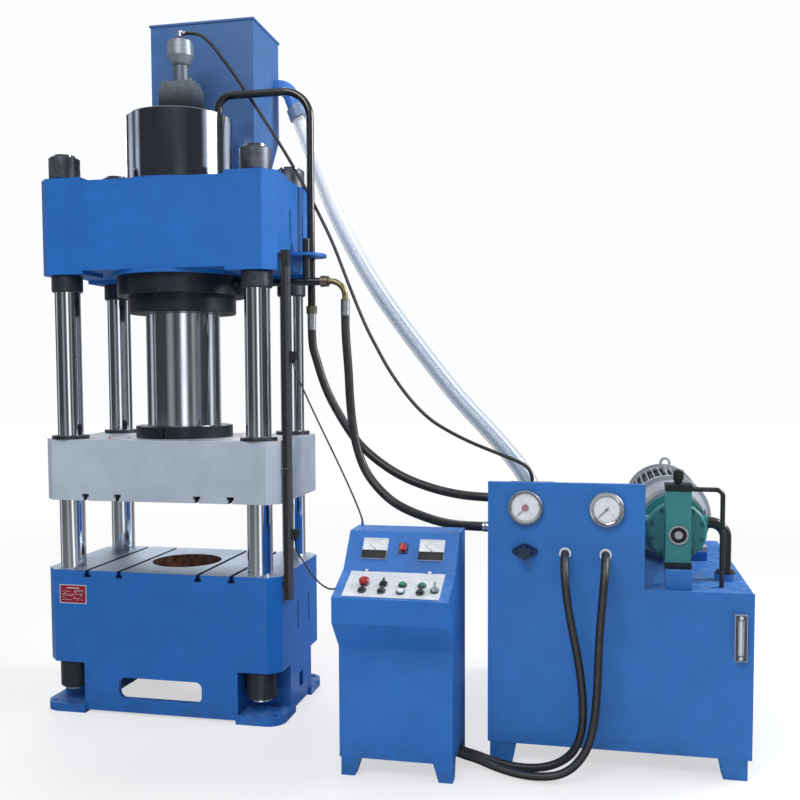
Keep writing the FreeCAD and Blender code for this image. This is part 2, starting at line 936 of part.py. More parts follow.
def main_cylinder():
    """Deep cylinder hung in the crown, open at its lower end for the gland."""
    inner, outer = s.cylinder_bore_radius, s.cylinder_radius
    ceiling = s.cylinder_top - s.cylinder_cap
    port = s.prefill_port_radius
    corners = [(inner, clamp_low), (outer, clamp_low), (outer, s.cylinder_top - 6),
               (outer - 6, s.cylinder_top), (port, s.cylinder_top), (port, ceiling),
               (inner, ceiling)]
    return lathe("cylinder_body", corners)


def clamp_ring():
    inner = s.cylinder_radius + s.cylinder_seat_clearance
    outer = s.clamp_ring_radius
    corners = [(inner, clamp_low), (outer - 4, clamp_low), (outer, clamp_low + 4),
               (outer, s.crown_low), (inner, s.crown_low)]
    boss = rod("pipe_boss", s.flange_boss_radius, s.flange_boss_height * 2,
               boss_face - s.flange_boss_height * 2, s.lower_pipe_y, s.lower_pipe_z, TO_RIGHT)
    return union("clamp_ring_with_boss", lathe("clamp_ring_body", corners), boss)


def gland_profile():
    """Gland ring with a stepped pocket for the rod seal."""
    running = s.ram_radius + s.ram_clearance
    seal = running + s.seal_width
    seal_floor = gland_low + s.seal_step
    return [(running, gland_low), (s.gland_radius - 5, gland_low),
            (s.gland_radius, gland_low + 5), (s.gland_radius, clamp_low),
            (seal, clamp_low), (seal, seal_floor), (running, seal_floor)]


def seal_profile():
    inner = s.ram_radius + s.ram_clearance
    low = gland_low + s.seal_step
    return [(inner, low), (inner + s.seal_width, low),
            (inner + s.seal_width, low + s.seal_height), (inner, low + s.seal_height)]


def ram():
    """Plunger and piston in one piece, with a groove for the clamp flange."""
    radius = s.ram_radius
    neck = radius - s.ram_groove_depth
    groove = slide_top + s.ram_groove_level
    groove_top = groove + s.ram_groove_height
    piston = s.cylinder_bore_radius - s.ram_clearance
    corners = [(0, slide_top), (radius, slide_top), (radius, groove), (neck, groove),
               (neck, groove_top), (radius, groove_top), (radius, s.piston_bottom),
               (piston, s.piston_bottom), (piston, piston_top), (0, piston_top)]
    return lathe("ram_body", corners)


def ram_flange():
    """Split ring whose lip sits in the ram's groove, with its cap screws."""
    radius = s.ram_radius + s.column_end_clearance
    lip = s.ram_radius - s.ram_groove_depth + s.column_end_clearance
    low = slide_top + s.ram_groove_level + s.column_end_clearance
    high = low + s.ram_groove_height - s.column_end_clearance * 2
    top = slide_top + s.ram_flange_height
    outer = s.ram_flange_radius
    corners = [(radius, slide_top), (outer, slide_top), (outer, top - 4), (outer - 4, top),
               (radius, top), (radius, high), (lip, high), (lip, low), (radius, low)]
    ring = lathe("flange_ring", corners)
    gap = block("flange_gap", s.ram_flange_split, s.ram_flange_radius * 3,
                s.ram_flange_height * 2, -s.ram_flange_split / 2,
                -s.ram_flange_radius * 1.5, slide_top - 1)
    wells = []
    heads = []
    count = 12
    depth = s.flange_screw_head + 2
    for index in range(count):
        angle = math.radians((index + 0.5) * 360 / count)
        x = s.flange_screw_circle * math.cos(angle)
        y = s.flange_screw_circle * math.sin(angle)
        wells.append(rod("screw_well_%d" % (index + 1), s.flange_screw_radius + 3,
                         depth * 2, x, y, top - depth))
        heads.append(rod("flange_screw_%d" % (index + 1), s.flange_screw_radius,
                         s.flange_screw_head + 1, x, y, top - depth - 1))
    return union("flange_with_screws", cut("flange_halves", ring, gap, *wells), *heads)


def slide():
    """Moving crosshead with four bush bores and T-slots in its lower face."""
    body = body_of("slide_body")
    half_width = s.slide_width / 2
    half_depth = s.slide_depth / 2
    plan = sketch(body, "slide_plan", "XY_Plane", s.slide_bottom)
    rectangle(plan, -half_width, -half_depth, half_width, half_depth)
    for x, y in COLUMNS:
        circle(plan, x, y, s.bush_radius + s.bush_fit)
    main = pad(body, "slide_main", plan, s.slide_height)
    corners = corner_at(half_width, half_depth)
    dressed(body, "slide_corners", "Chamfer", main, s.corner_chamfer, corners)
    slots(body, "slide_slots", s.slide_bottom, 1, s.slide_depth * 2)
    return body


def bush_profile():
    """Bronze guide bush with a flange on the slide's top."""
    inner = s.column_radius + s.ram_clearance
    top = slide_top + s.bush_flange_height
    return [(inner, s.slide_bottom), (s.bush_radius, s.slide_bottom),
            (s.bush_radius, slide_top), (s.bush_flange_radius, slide_top),
            (s.bush_flange_radius, top - 3), (s.bush_flange_radius - 3, top), (inner, top)]


def striker():
    """Cam block on the slide's right face, with ramps for the switch rollers."""
    body = body_of("striker_body")
    face = s.slide_width / 2
    tip = rail_x + s.striker_past_rail
    ramp = s.striker_ramp
    top = s.striker_bottom + s.striker_height
    side = sketch(body, "striker_profile", "XZ_Plane", -s.striker_y)
    outline(side, [(face, s.striker_bottom), (tip - ramp, s.striker_bottom),
                   (tip, s.striker_bottom + ramp), (tip, top - ramp), (tip - ramp, top),
                   (face, top)])
    pad(body, "striker_pad", side, s.striker_width, centred=True)
    return body


rail_x = widest(s.slide_width, s.bed_width, s.crown_width) / 2 + s.rail_gap
rail_out = rail_x + s.rail_leg
switch_y = s.rail_y + s.rail_wall
pivot_y = switch_y + s.switch_depth
pivot_x = rail_out + s.switch_width * 0.4


def limit_rail():
    """Angle bar beside the slide, spaced off the bed and the crown."""
    body = body_of("rail_body")
    plan = sketch(body, "rail_plan", "XY_Plane", s.rail_bottom)
    far = s.rail_y + s.rail_leg
    inner = rail_out - s.rail_wall
    outline(plan, [(rail_x, s.rail_y), (rail_out, s.rail_y), (rail_out, far), (inner, far),
                   (inner, s.rail_y + s.rail_wall), (rail_x, s.rail_y + s.rail_wall)])
    pad(body, "rail_pad", plan, s.rail_top - s.rail_bottom)
    lug = s.rail_leg * 0.75
    bed_face = s.bed_width / 2
    crown_face = s.crown_width / 2
    low = block("rail_low_spacer", rail_x + s.rail_wall - bed_face, s.rail_wall * 2, lug,
                bed_face, s.rail_y, s.bed_top - lug * 2)
    high = block("rail_high_spacer", rail_x + s.rail_wall - crown_face, s.rail_wall * 2, lug,
                 crown_face, s.rail_y, s.rail_top - lug * 1.5)
    return union("rail_with_spacers", body, low, high)


def switch_body(name, level):
    """Limit switch with its lever pin, screwed to the rail's outer leg."""
    case = block(name + "_case", s.switch_width, s.switch_depth, s.switch_height,
                 rail_out, switch_y, level - s.switch_height / 2)
    pin = rod(name + "_pin", s.lever_pin_radius, s.lever_thickness + 2,
              pivot_x, pivot_y - 1, level, TO_REAR)
    neck = rod(name + "_gland", s.lever_pin_radius * 2, s.lever_arm / 3 + 1,
               rail_out + s.switch_width / 2, switch_y + s.switch_depth / 2,
               level - s.switch_height / 2 - s.lever_arm / 3)
    return union(name, case, pin, neck)


def switch_lever(name, level):
    """Roller lever that reaches back over the striker's path."""
    hole = s.lever_pin_radius + s.bush_fit
    arm = block(name + "_arm", s.lever_arm, s.lever_thickness, s.lever_width,
                pivot_x - s.lever_arm, pivot_y + 0.5, level - s.lever_width / 2)
    boss = rod(name + "_boss", s.lever_width / 2 + 2, s.lever_thickness,
               pivot_x, pivot_y + 0.5, level, TO_REAR)
    roller = rod(name + "_roller", s.roller_radius, s.roller_width + s.lever_thickness,
                 pivot_x - s.lever_arm, pivot_y + 0.5, level, TO_REAR)
    bore = rod(name + "_bore", hole, s.lever_thickness * 3, pivot_x, pivot_y - 2, level, TO_REAR)
    return cut(name, union(name + "_metal", arm, boss, roller), bore)


valve_top = s.cylinder_top + s.valve_height


def prefill_valve():
    """Valve block on the cylinder with its spigot to the filling tank."""
    front = s.valve_y - s.valve_depth / 2
    plate_low = valve_top - s.valve_plate_height
    step = s.valve_plate_step
    half = s.valve_width / 2
    block_body = block("valve_block_body", s.valve_width, s.valve_depth,
                       s.valve_height - s.valve_plate_height, -half, front, s.cylinder_top)
    plate = block("valve_plate", s.valve_width - step * 2, s.valve_depth - step * 2,
                  s.valve_plate_height, -half + step, front + step, plate_low)
    screws = []
    inset = step + s.valve_screw_radius * 1.5
    for side in (-1, 1):
        for row in (inset, s.valve_depth / 2, s.valve_depth - inset):
            screws.append(rod("valve_screw_%d" % len(screws), s.valve_screw_radius, s.valve_screw_radius,
                              (half - inset) * side, front + row, valve_top))
    rear = s.valve_y + s.valve_depth / 2
    spigot = rod("valve_spigot", s.prefill_pipe_radius, s.tank_front - rear,
                 0, rear, s.cylinder_top + s.prefill_pipe_level, TO_REAR)
    return union("valve_with_spigot", block_body, plate, spigot, *screws)


def prefill_head():
    """Control head: a neck that flares to a domed cap with the pilot fitting."""
    neck, head = s.valve_neck_radius, s.valve_head_radius
    flare = s.valve_neck_height
    shoulder = flare + s.valve_head_taper
    top = s.valve_neck_height + s.valve_head_height
    corners = [(0, 0), (neck + 8, 0), (neck + 8, 12), (neck, 18), (neck, flare),
               (head, shoulder), (head, top - 24), (head - 4, top - 24),
               (head - 4, top - 8), (head - 14, top), (0, top)]
    head_body = lathe("prefill_head_body", corners, 0, s.valve_y, valve_top)
    elbow = rod("pilot_fitting", s.pilot_cable_radius + 3, 34, 0, s.valve_y,
                valve_top + top + s.pilot_post, TO_RIGHT)
    ball = rod("pilot_fitting_post", s.pilot_cable_radius + 5,
               s.pilot_post + s.pilot_cable_radius + 6, 0, s.valve_y, valve_top + top - 1)
    return union("prefill_head_union", head_body, elbow, ball)


def filling_tank():
    """Sheet tank behind the cylinder; its floor slopes forward to the crown."""
    seat = s.crown_high - s.crown_recess_top
    floor = seat + s.crown_pad_height
    front = s.tank_front
    rear = s.tank_front + s.tank_depth
    foot = front + s.tank_foot_depth
    body = body_of("tank_body")
    side = sketch(body, "tank_side", "YZ_Plane")
    outline(side, [(front, floor), (foot, floor), (rear, s.tank_rear_low),
                   (rear, s.tank_high), (front, s.tank_high)])
    pad(body, "tank_pad", side, s.tank_width, centred=True)
    wall = s.tank_wall
    space = sketch(body, "tank_space", "YZ_Plane")
    outline(space, [(front + wall, floor + wall), (foot - wall / 2, floor + wall),
                    (rear - wall, s.tank_rear_low + wall / 2),
                    (rear - wall, s.tank_high + wall), (front + wall, s.tank_high + wall)])
    pocket(body, "tank_hollow", space, s.tank_width - wall * 2, centred=True)
    over = s.lid_overhang
    lid = block("tank_lid", s.tank_width + over * 2, s.tank_depth + over * 2, s.lid_thickness,
                -s.tank_width / 2 - over, front - over, s.tank_high)
    feet = [block("tank_foot_%d" % index, 60, 50, s.crown_pad_height + 1, x, front + 6, seat)
            for index, x in enumerate((-270, 210))]
    return group("tank_and_lid", union("tank_with_feet", body, *feet), lid)


def return_elbow():
    """Swept elbow from the tank's side to the collar of the return hose."""
    start = s.tank_width / 2
    tilt = math.radians(20)
    corner = (float(start + s.elbow_reach), float(s.elbow_y), float(s.elbow_level))
    drop = float(s.elbow_drop + s.elbow_bend_radius)
    end = (corner[0] + drop * math.sin(tilt), corner[1], corner[2] - drop * math.cos(tilt))
    points = [(start, s.elbow_y, s.elbow_level), corner, end]
    pipe = bent_pipe("return_elbow_pipe", points, [s.elbow_bend_radius], s.elbow_radius,
                     s.elbow_radius - s.pipe_wall)
    down = FreeCAD.Vector(math.sin(tilt), 0, -math.cos(tilt))
    centre = FreeCAD.Vector(*end)
    length = float(s.elbow_collar_length)
    collar = Part.makeCylinder(float(s.elbow_collar), length, centre - down * length, down)
    sleeve = collar.cut(Part.makeCylinder(float(s.elbow_radius) - 1, length,
                                          centre - down * length, down))
    return shaped("return_elbow_shape", pipe.fuse(sleeve)), end, down


def upper_pipe():
    """Steel pipe from the cylinder head, over and down beside the crown."""
    points = [(s.upper_pipe_x, s.upper_pipe_y, s.cylinder_top),
              (s.upper_pipe_x, s.upper_pipe_y, s.upper_pipe_run),
              (pipe_line, s.upper_pipe_y, s.upper_pipe_run),
              (pipe_line, s.upper_pipe_y, s.upper_pipe_end)]
    bends = [s.upper_bend_first, s.upper_bend_second]
    return shaped("upper_pipe_run", bent_pipe("upper pipe", points, bends, s.pipe_radius,
                                              s.pipe_radius - s.pipe_wall))


def lower_pipe():
    """Steel pipe from the clamp ring, with the capped riser that hangs it."""
    run = rod("lower_pipe_run", s.pipe_radius, s.lower_pipe_end - boss_face,
              boss_face, s.lower_pipe_y, s.lower_pipe_z, TO_RIGHT)
    riser = rod("lower_pipe_riser", s.pipe_radius, s.stub_top - s.lower_pipe_z,
                stub_line, s.lower_pipe_y, s.lower_pipe_z)
    return union("lower_pipe_union", run, riser)


def hose_fittings():
    """Union nuts, ferrules and the bent tail at the press end and valve end."""
    nut_top = s.upper_pipe_end
    nut_low = nut_top - s.union_length
    ferrule_low = nut_low - s.ferrule_length
    upper_nut = rod("upper_union", s.union_radius, s.union_length,
                    pipe_line, s.upper_pipe_y, nut_low)
    upper_ferrule = rod("upper_ferrule", s.ferrule_radius, s.ferrule_length,
                        pipe_line, s.upper_pipe_y, ferrule_low)
    end = s.lower_pipe_end
    lower_nut = rod("lower_union", s.union_radius, s.union_length,
                    end, s.lower_pipe_y, s.lower_pipe_z, TO_RIGHT)
    tail_x = end + s.union_length + s.fitting_elbow_radius + 10
    tail_low = s.lower_pipe_z - s.fitting_elbow_radius - 16
    tail = shaped("lower_tail", bent_pipe(
        "lower tail", [(end + s.union_length, s.lower_pipe_y, s.lower_pipe_z),
                       (tail_x, s.lower_pipe_y, s.lower_pipe_z),
                       (tail_x, s.lower_pipe_y, tail_low)],
        [s.fitting_elbow_radius], s.fitting_pipe_radius))
    lower_ferrule = rod("lower_ferrule", s.ferrule_radius, s.ferrule_length,
                        tail_x, s.lower_pipe_y, tail_low - s.ferrule_length)
    pieces = [union("upper_fitting", upper_nut, upper_ferrule),
              union("lower_fitting", lower_nut, tail, lower_ferrule)]
    return pieces, ferrule_low, tail_x, tail_low - s.ferrule_length


console_back = s.console_front + s.console_depth
console_right = s.console_left + s.console_width
nose_y = s.console_front - s.console_reach
hood_y = nose_y + s.console_deck_run
hood_z = s.console_nose_high + s.console_deck_rise
roof_y = hood_y + s.console_panel_run
roof_z = hood_z + s.console_panel_rise
deck_tilt = math.degrees(math.atan2(float(s.console_deck_rise), float(s.console_deck_run)))
panel_tilt = math.degrees(math.atan2(float(s.console_panel_rise), float(s.console_panel_run)))
deck_length = root(s.console_deck_run * s.console_deck_run
                   + s.console_deck_rise * s.console_deck_rise)
plate_low = s.deck_gap
plate_high = s.deck_gap + s.deck_thickness
button_hole = s.button_radius + s.button_hole_clearance
control_x = [s.control_column_first + s.control_pitch * index for index in range(4)]
hinge_along = deck_length - s.deck_margin_high + s.deck_hinge_radius + 0.3
hinge_lift = plate_low + s.deck_hinge_radius
hinge_centres = [s.deck_margin_side + s.deck_hinge_inset,
                 s.console_width - s.deck_margin_side - s.deck_hinge_inset]


def on_deck(item):
    """Moves a piece drawn in deck coordinates onto the sloping deck."""
    return placed(group(item.Name + "_on_deck", item), s.console_left, nose_y,
                  s.console_nose_high, turned_about((1, 0, 0), deck_tilt))


def on_panel(item):
    """Moves a piece drawn in panel coordinates onto the meter panel."""
    return placed(group(item.Name + "_on_panel", item), s.console_left, hood_y, hood_z,
                  turned_about((1, 0, 0), panel_tilt))


def foot(name, top, tip, depth, height, x, y, to_left, to_front):
    """Casing foot: upright on its two outer sides, tapered on the inner ones."""
    wedge = doc.addObject("Part::Wedge", name)
    taper_in = top - tip
    left_floor = 0 if to_left else taper_in
    front_floor = taper_in if to_front else 0
    for prop, size in (("Xmin", left_floor), ("Xmax", left_floor + tip),
                       ("Zmin", front_floor), ("Zmax", front_floor + depth - taper_in),
                       ("Ymin", 0), ("Ymax", height), ("X2min", 0), ("X2max", top),
                       ("Z2min", 0), ("Z2max", depth)):
        bind(wedge, prop, size)
    return placed(wedge, x, y + depth, 0, TO_FRONT)


def feet_under(name, left, right, front, rear, top, tip, depth, height):
    """The four feet of a casing, one at each corner of its floor."""
    feet = []
    for to_front, y in ((True, front), (False, rear - depth)):
        for to_left, x in ((True, left), (False, right - top)):
            feet.append(foot("%s_%d" % (name, len(feet) + 1), top, tip, depth, height, x, y,
                             to_left, to_front))
    return feet


def console_shell():
    """Folded sheet casing, hollow, with openings for the deck, door and cables."""
    body = body_of("shell_body")
    wall = s.console_wall
    middle = s.console_left + s.console_width / 2
    side = sketch(body, "shell_side", "YZ_Plane", middle)
    outline(side, [(s.console_front, s.console_foot), (s.console_front, s.console_shelf),
                   (nose_y, s.console_nose_low), (nose_y, s.console_nose_high),
                   (hood_y, hood_z), (roof_y, roof_z), (console_back, roof_z),
                   (console_back, s.console_foot)])
    pad(body, "shell_pad", side, s.console_width, centred=True)
    space = sketch(body, "shell_space", "YZ_Plane", middle)
    half = wall / 2
    outline(space, [(s.console_front + wall, s.console_foot + wall),
                    (s.console_front + wall, s.console_shelf + half),
                    (nose_y + wall, s.console_nose_low + half),
                    (nose_y + wall, s.console_nose_high - half),
                    (hood_y + half, hood_z - wall), (roof_y + half, roof_z - wall),
                    (console_back - wall, roof_z - wall),
                    (console_back - wall, s.console_foot + wall)])
    pocket(body, "shell_hollow", space, s.console_width - wall * 2, centred=True)
    rear = sketch(body, "door_opening_sketch", "XZ_Plane", -console_back)
    rim = s.door_margin + s.console_wall * 3
    rectangle(rear, s.console_left + rim, s.door_low + wall * 3,
              console_right - rim, s.door_high - wall * 3)
    pocket(body, "door_opening", rear, wall * 3, centred=True)
    return body


def deck_knuckles(name, middle_part):
    """Hinge barrels in deck coordinates: the middle third or the outer thirds."""
    third = s.deck_hinge_length / 3
    pieces = []
    for index, centre in enumerate(hinge_centres):
        low = centre - s.deck_hinge_length / 2
        starts = [low + third + 0.3] if middle_part else [low, low + third * 2]
        length = third - 0.6 if middle_part else third
        for part, start in enumerate(starts):
            tag = "%s_%d_%d" % (name, index, part)
            pieces.append(rod(tag, s.deck_hinge_radius, length, start, hinge_along,
                              hinge_lift, TO_RIGHT))
            reach = s.deck_hinge_radius + 2
            if middle_part:
                pieces.append(block(tag + "_leaf", length, reach, s.deck_thickness,
                                    start, hinge_along - reach, plate_low))
            else:
                pieces.append(block(tag + "_leaf", length, reach, hinge_lift,
                                    start, hinge_along, 0))
    return pieces


def console_cabinet():
    wall = s.console_wall
    inner_width = s.console_width - wall
    deck_hole = on_deck(block("deck_opening", s.console_width - s.deck_margin_side * 2.6,
                              deck_length - s.deck_margin_low - s.deck_margin_high - 30,
                              wall * 6, s.deck_margin_side * 1.3,
                              s.deck_margin_low + 10, -wall * 3))
    cable_hole = block("cable_opening", s.cable_opening_width, s.cable_opening_depth, wall * 3,
                       console_right - s.cable_opening_width - 32,
                       s.console_front + 175, s.console_foot - wall)
    shell = cut("shell_with_openings", console_shell(), deck_hole, cable_hole)
    legs = feet_under("console_leg", s.console_left + s.console_leg_inset, console_right,
                      s.console_front, console_back, s.console_leg_width, s.console_leg_tip,
                      s.console_leg_width, s.console_foot)
    bar = block("cable_clamp_bar", inner_width, 120, s.clamp_bar_height,
                s.console_left + wall / 2, s.console_front + 190, s.clamp_bar_z)
    plate = block("mounting_plate", inner_width, wall, 560, s.console_left + wall / 2,
                  s.console_front + 310, s.clamp_bar_z)
    parts = []
    for index, x in enumerate([110, 200, 290, 380]):
        parts.append(block("contactor_%d" % index, 64, 52, 86, s.console_left + x,
                           s.console_front + 312, 720))
    parts.append(block("terminal_strip", 330, 40, 46, s.console_left + 100,
                       s.console_front + 312, 560))
    knuckles = on_deck(union("deck_hinge_outer", *deck_knuckles("outer_knuckle", False)))
    return union("cabinet_union", shell, *legs, bar, plate, *parts, knuckles,
                 *door_knuckles("cabinet_knuckle", False),
                 rod("cable_gland_top", 7, 18, s.console_left + 22, console_back - 24, roof_z),
                 rod("cable_gland_side", 7, 18, s.console_left, console_back - 60, hood_z - 120,
                     TO_LEFT))


door_left = s.console_left + s.door_margin
door_axis_x = door_left - s.door_hinge_radius + 1
door_axis_y = console_back + s.door_gap + s.door_hinge_radius


def door_knuckles(name, on_door):
    """Two hinges: the upper half of each barrel is the door's, the lower the casing's."""
    pieces = []
    length = 40
    for index, level in enumerate([s.door_low + 90, s.door_high - 170]):
        tag = "%s_%d" % (name, index)
        low = level + length + 0.5 if on_door else level
        pieces.append(rod(tag, s.door_hinge_radius, length, door_axis_x, door_axis_y, low))
        if on_door:
            pieces.append(block(tag + "_leaf", s.door_hinge_radius * 2, s.door_thickness, length,
                                door_axis_x, console_back + s.door_gap, low))
        else:
            pieces.append(block(tag + "_leaf", 22, s.door_gap + s.door_thickness + 1, length,
                                door_axis_x - 22, console_back - 1, low))
    return pieces


def console_door():
    left = door_left + 2
    leaf = block("door_leaf", console_right - s.door_margin - left, s.door_thickness,
                 s.door_high - s.door_low, left, console_back + s.door_gap, s.door_low)
    face = console_back + s.door_gap + s.door_thickness
    lock = block("door_lock", 26, 12, 74, console_right - s.door_margin - 50, face,
                 (s.door_low + s.door_high) / 2)
    return union("door_union", leaf, lock, *door_knuckles("door_knuckle", True))


def deck_plate():
    """Hinged plate with a hole for each control."""
    width = s.console_width - s.deck_margin_side * 2
    depth = deck_length - s.deck_margin_low - s.deck_margin_high
    plate = block("deck_sheet", width, depth, s.deck_thickness,
                  s.deck_margin_side, s.deck_margin_low, plate_low)
    holes = []
    places = [(x, row) for row in (s.control_row_low, s.control_row_high) for x in control_x]
    places.append((s.lever_control_x, s.lever_control_y))
    for index, (x, y) in enumerate(places):
        holes.append(rod("control_hole_%d" % index, button_hole, s.deck_thickness * 3,
                         x, y, plate_low - s.deck_thickness))
    drilled = cut("deck_drilled", plate, *holes)
    return on_deck(union("deck_union", drilled, *deck_knuckles("inner_knuckle", True)))


def bezels():
    """Nine collars clamped on the deck plate."""
    outer, high = s.bezel_radius, plate_high + s.bezel_height
    source = lathe("bezel_source", [(button_hole, plate_high), (outer, plate_high),
                                    (outer, high - 2), (outer - 2, high), (button_hole, high)])
    places = [(x, row) for row in (s.control_row_low, s.control_row_high) for x in control_x]
    places.append((s.lever_control_x, s.lever_control_y))
    placed(source, *places[0])
    rings = [source]
    for index, (x, y) in enumerate(places[1:]):
        rings.append(copied("bezel_%d" % index, source, x, y))
    return on_deck(group("bezel_group", *rings))


def plunger(name, head, lift, x, y):
    """Push control: collar under the plate, stem, and a head that clears the bezel."""
    stem, shoulder = s.button_radius, s.button_radius + 3
    top = plate_high + lift
    under = plate_low - s.button_travel / 8
    corners = [(0, plate_low - s.button_stem), (shoulder, plate_low - s.button_stem),
               (shoulder, under), (stem, under), (stem, top), (head, top),
               (head, top + s.button_height - 4), (head - 3, top + s.button_height),
               (0, top + s.button_height)]
    return on_deck(lathe(name, corners, x, y))


def push_button(name, x, y):
    """Flat button that stands proud of its bezel."""
    stem, shoulder = s.button_radius, s.button_radius + 3
    top = plate_high + s.bezel_height + s.button_height / 2
    under = plate_low - s.button_travel / 8
    corners = [(0, plate_low - s.button_stem), (shoulder, plate_low - s.button_stem),
               (shoulder, under), (stem, under), (stem, top - 1), (stem - 1, top), (0, top)]
    return on_deck(lathe(name, corners, x, y))


def selector(name, x, y, length, lift):
    """Rotary selector with a bar handle."""
    low = plate_high + s.bezel_height + 0.3
    stem = rod(name + "_stem", s.button_radius, low - plate_low + s.button_stem + 1,
               x, y, plate_low - s.button_stem)
    disc = rod(name + "_disc", s.button_radius + 2, 5, x, y, low)
    bar = block(name + "_bar", 8, length, lift, x - 4, y - length * 0.4, low + 4)
    return on_deck(union(name, stem, disc, bar))


def meters():
    """Two panel meters: recessed dial above a raised terminal cover."""
    pieces = []
    low = s.meter_row - s.meter_height / 2
    for name, x in (("left", s.meter_left_x), ("right", s.meter_right_x)):
        case = block("meter_case_" + name, s.meter_width, s.meter_height, s.meter_depth,
                     x - s.meter_width / 2, low, 0)
        dial = block("meter_dial_" + name, s.meter_width - 8,
                     s.meter_height - s.meter_black - 5, s.meter_depth,
                     x - s.meter_width / 2 + 4, low + s.meter_black, s.meter_depth - 5)
        pin = rod("meter_pin_" + name, 1.5, 5, x, low + s.meter_black + 8, s.meter_depth - 6)
        pieces.append(union("meter_%s" % name, cut("meter_shell_" + name, case, dial), pin))
    return on_panel(group("meter_pair", *pieces))


def meter_needle(name, x):
    """Pointer at zero, leaning to the left."""
    low = s.meter_row - s.meter_height / 2
    y = low + s.meter_black + 8
    z = s.meter_depth - 3.5
    hub = rod(name + "_hub", 4, 1.5, x, y, z)
    turn = turned_about((0, 0, 1), 50)
    side = turn.multVec(FreeCAD.Vector(-0.9, 0, 0))
    tip = block(name + "_tip", 1.8, s.meter_needle_length, 1, x + side.x, y + side.y, z, turn)
    hole = rod(name + "_hole", 1.55, 4, x, y, z - 1)
    return on_panel(cut(name, union(name + "_metal", hub, tip), hole))


def power_base():
    """Square base with the spindle of the main switch; drawn with the meters."""
    base = block("power_base_block", s.power_base_width, s.power_base_height,
                 s.power_base_depth, s.power_switch_x - s.power_base_width / 2,
                 s.power_switch_row - s.power_base_height / 2, 0)
    spindle = rod("power_spindle", 4, 10, s.power_switch_x, s.power_switch_row,
                  s.power_base_depth - 1)
    return on_panel(union("power_base", base, spindle))


def power_knob():
    low = s.power_base_depth + 0.5
    drum = rod("power_drum", s.power_knob_radius, 8, s.power_switch_x, s.power_switch_row, low)
    grip = block("power_grip", 11, s.power_knob_radius * 2 - 2, s.power_knob_height - 8,
                 s.power_switch_x - 5.5, s.power_switch_row - s.power_knob_radius + 1, low + 7)
    hole = rod("power_bore", 4.05, 10.5, s.power_switch_x, s.power_switch_row, low - 1)
    return on_panel(cut("power_knob", union("power_knob_metal", drum, grip), hole))


panel_back = s.unit_front + s.panel_thickness
tank_rear = panel_back + s.unit_tank_depth
unit_right = s.unit_left + s.unit_width
rail_offset = s.motor_foot_width / 2
motor_base = s.shaft_z - s.motor_fin_radius + 3


def oil_tank():
    """Welded tank: hollow shell on four feet, with motor rails and a pump stand."""
    wall = s.unit_tank_wall
    height = s.unit_tank_top - s.unit_bottom
    outer = block("tank_outer", s.unit_width, s.unit_tank_depth, height,
                  s.unit_left, panel_back, s.unit_bottom)
    inner = block("tank_inner", s.unit_width - wall * 2, s.unit_tank_depth - wall * 2,
                  height - wall * 2, s.unit_left + wall, panel_back + wall,
                  s.unit_bottom + wall)
    filler = rod("filler_hole", 32, 30, s.unit_left + 430, tank_rear - 260,
                 s.unit_tank_top - 15)
    hollow = cut("tank_hollow_shell", outer, inner, filler)
    feet = feet_under("unit_foot", s.unit_left + s.unit_foot_inset_left,
                      unit_right - s.unit_foot_inset_right, panel_back, tank_rear,
                      s.unit_foot_width, s.unit_foot_tip, s.unit_foot_depth, s.unit_bottom)
    rails = []
    for index, side in enumerate((-1, 1)):
        rails.append(block("motor_rail_%d" % index, s.rail_beam_width, 450,
                           motor_base - s.unit_tank_top,
                           s.shaft_x + rail_offset * side - s.rail_beam_width / 2, 190,
                           s.unit_tank_top))
    stand = block("pump_stand", s.pump_box_width + 4, s.pedestal_depth,
                  s.pump_box_low - s.pump_cap + 2 - s.unit_tank_top,
                  s.shaft_x - s.pump_box_width / 2 - 2, s.pump_front - 50, s.unit_tank_top)
    nozzle = lathe("return_nozzle", [(0, 0), (64, 0), (64, 14), (40, 14), (40, 110), (0, 110)],
                   s.unit_left + 225, 40, s.unit_tank_top)
    cover = rod("cleaning_cover", 170, 12, s.unit_left + 480, tank_rear, 470, TO_REAR)
    bolts = []
    for index in range(12):
        angle = math.radians(index * 30)
        bolts.append(rod("cover_bolt_%d" % index, 8, 8,
                         s.unit_left + 480 + 150 * math.cos(angle), tank_rear + 12,
                         470 + 150 * math.sin(angle), TO_REAR))
    tank = union("tank_union", hollow, *rails, stand, nozzle, cover, *bolts)
    breather = rod("breather_cap", 46, 58, s.unit_left + 430, tank_rear - 260, s.unit_tank_top)
    return group("tank_on_feet", tank, breather, *feet)


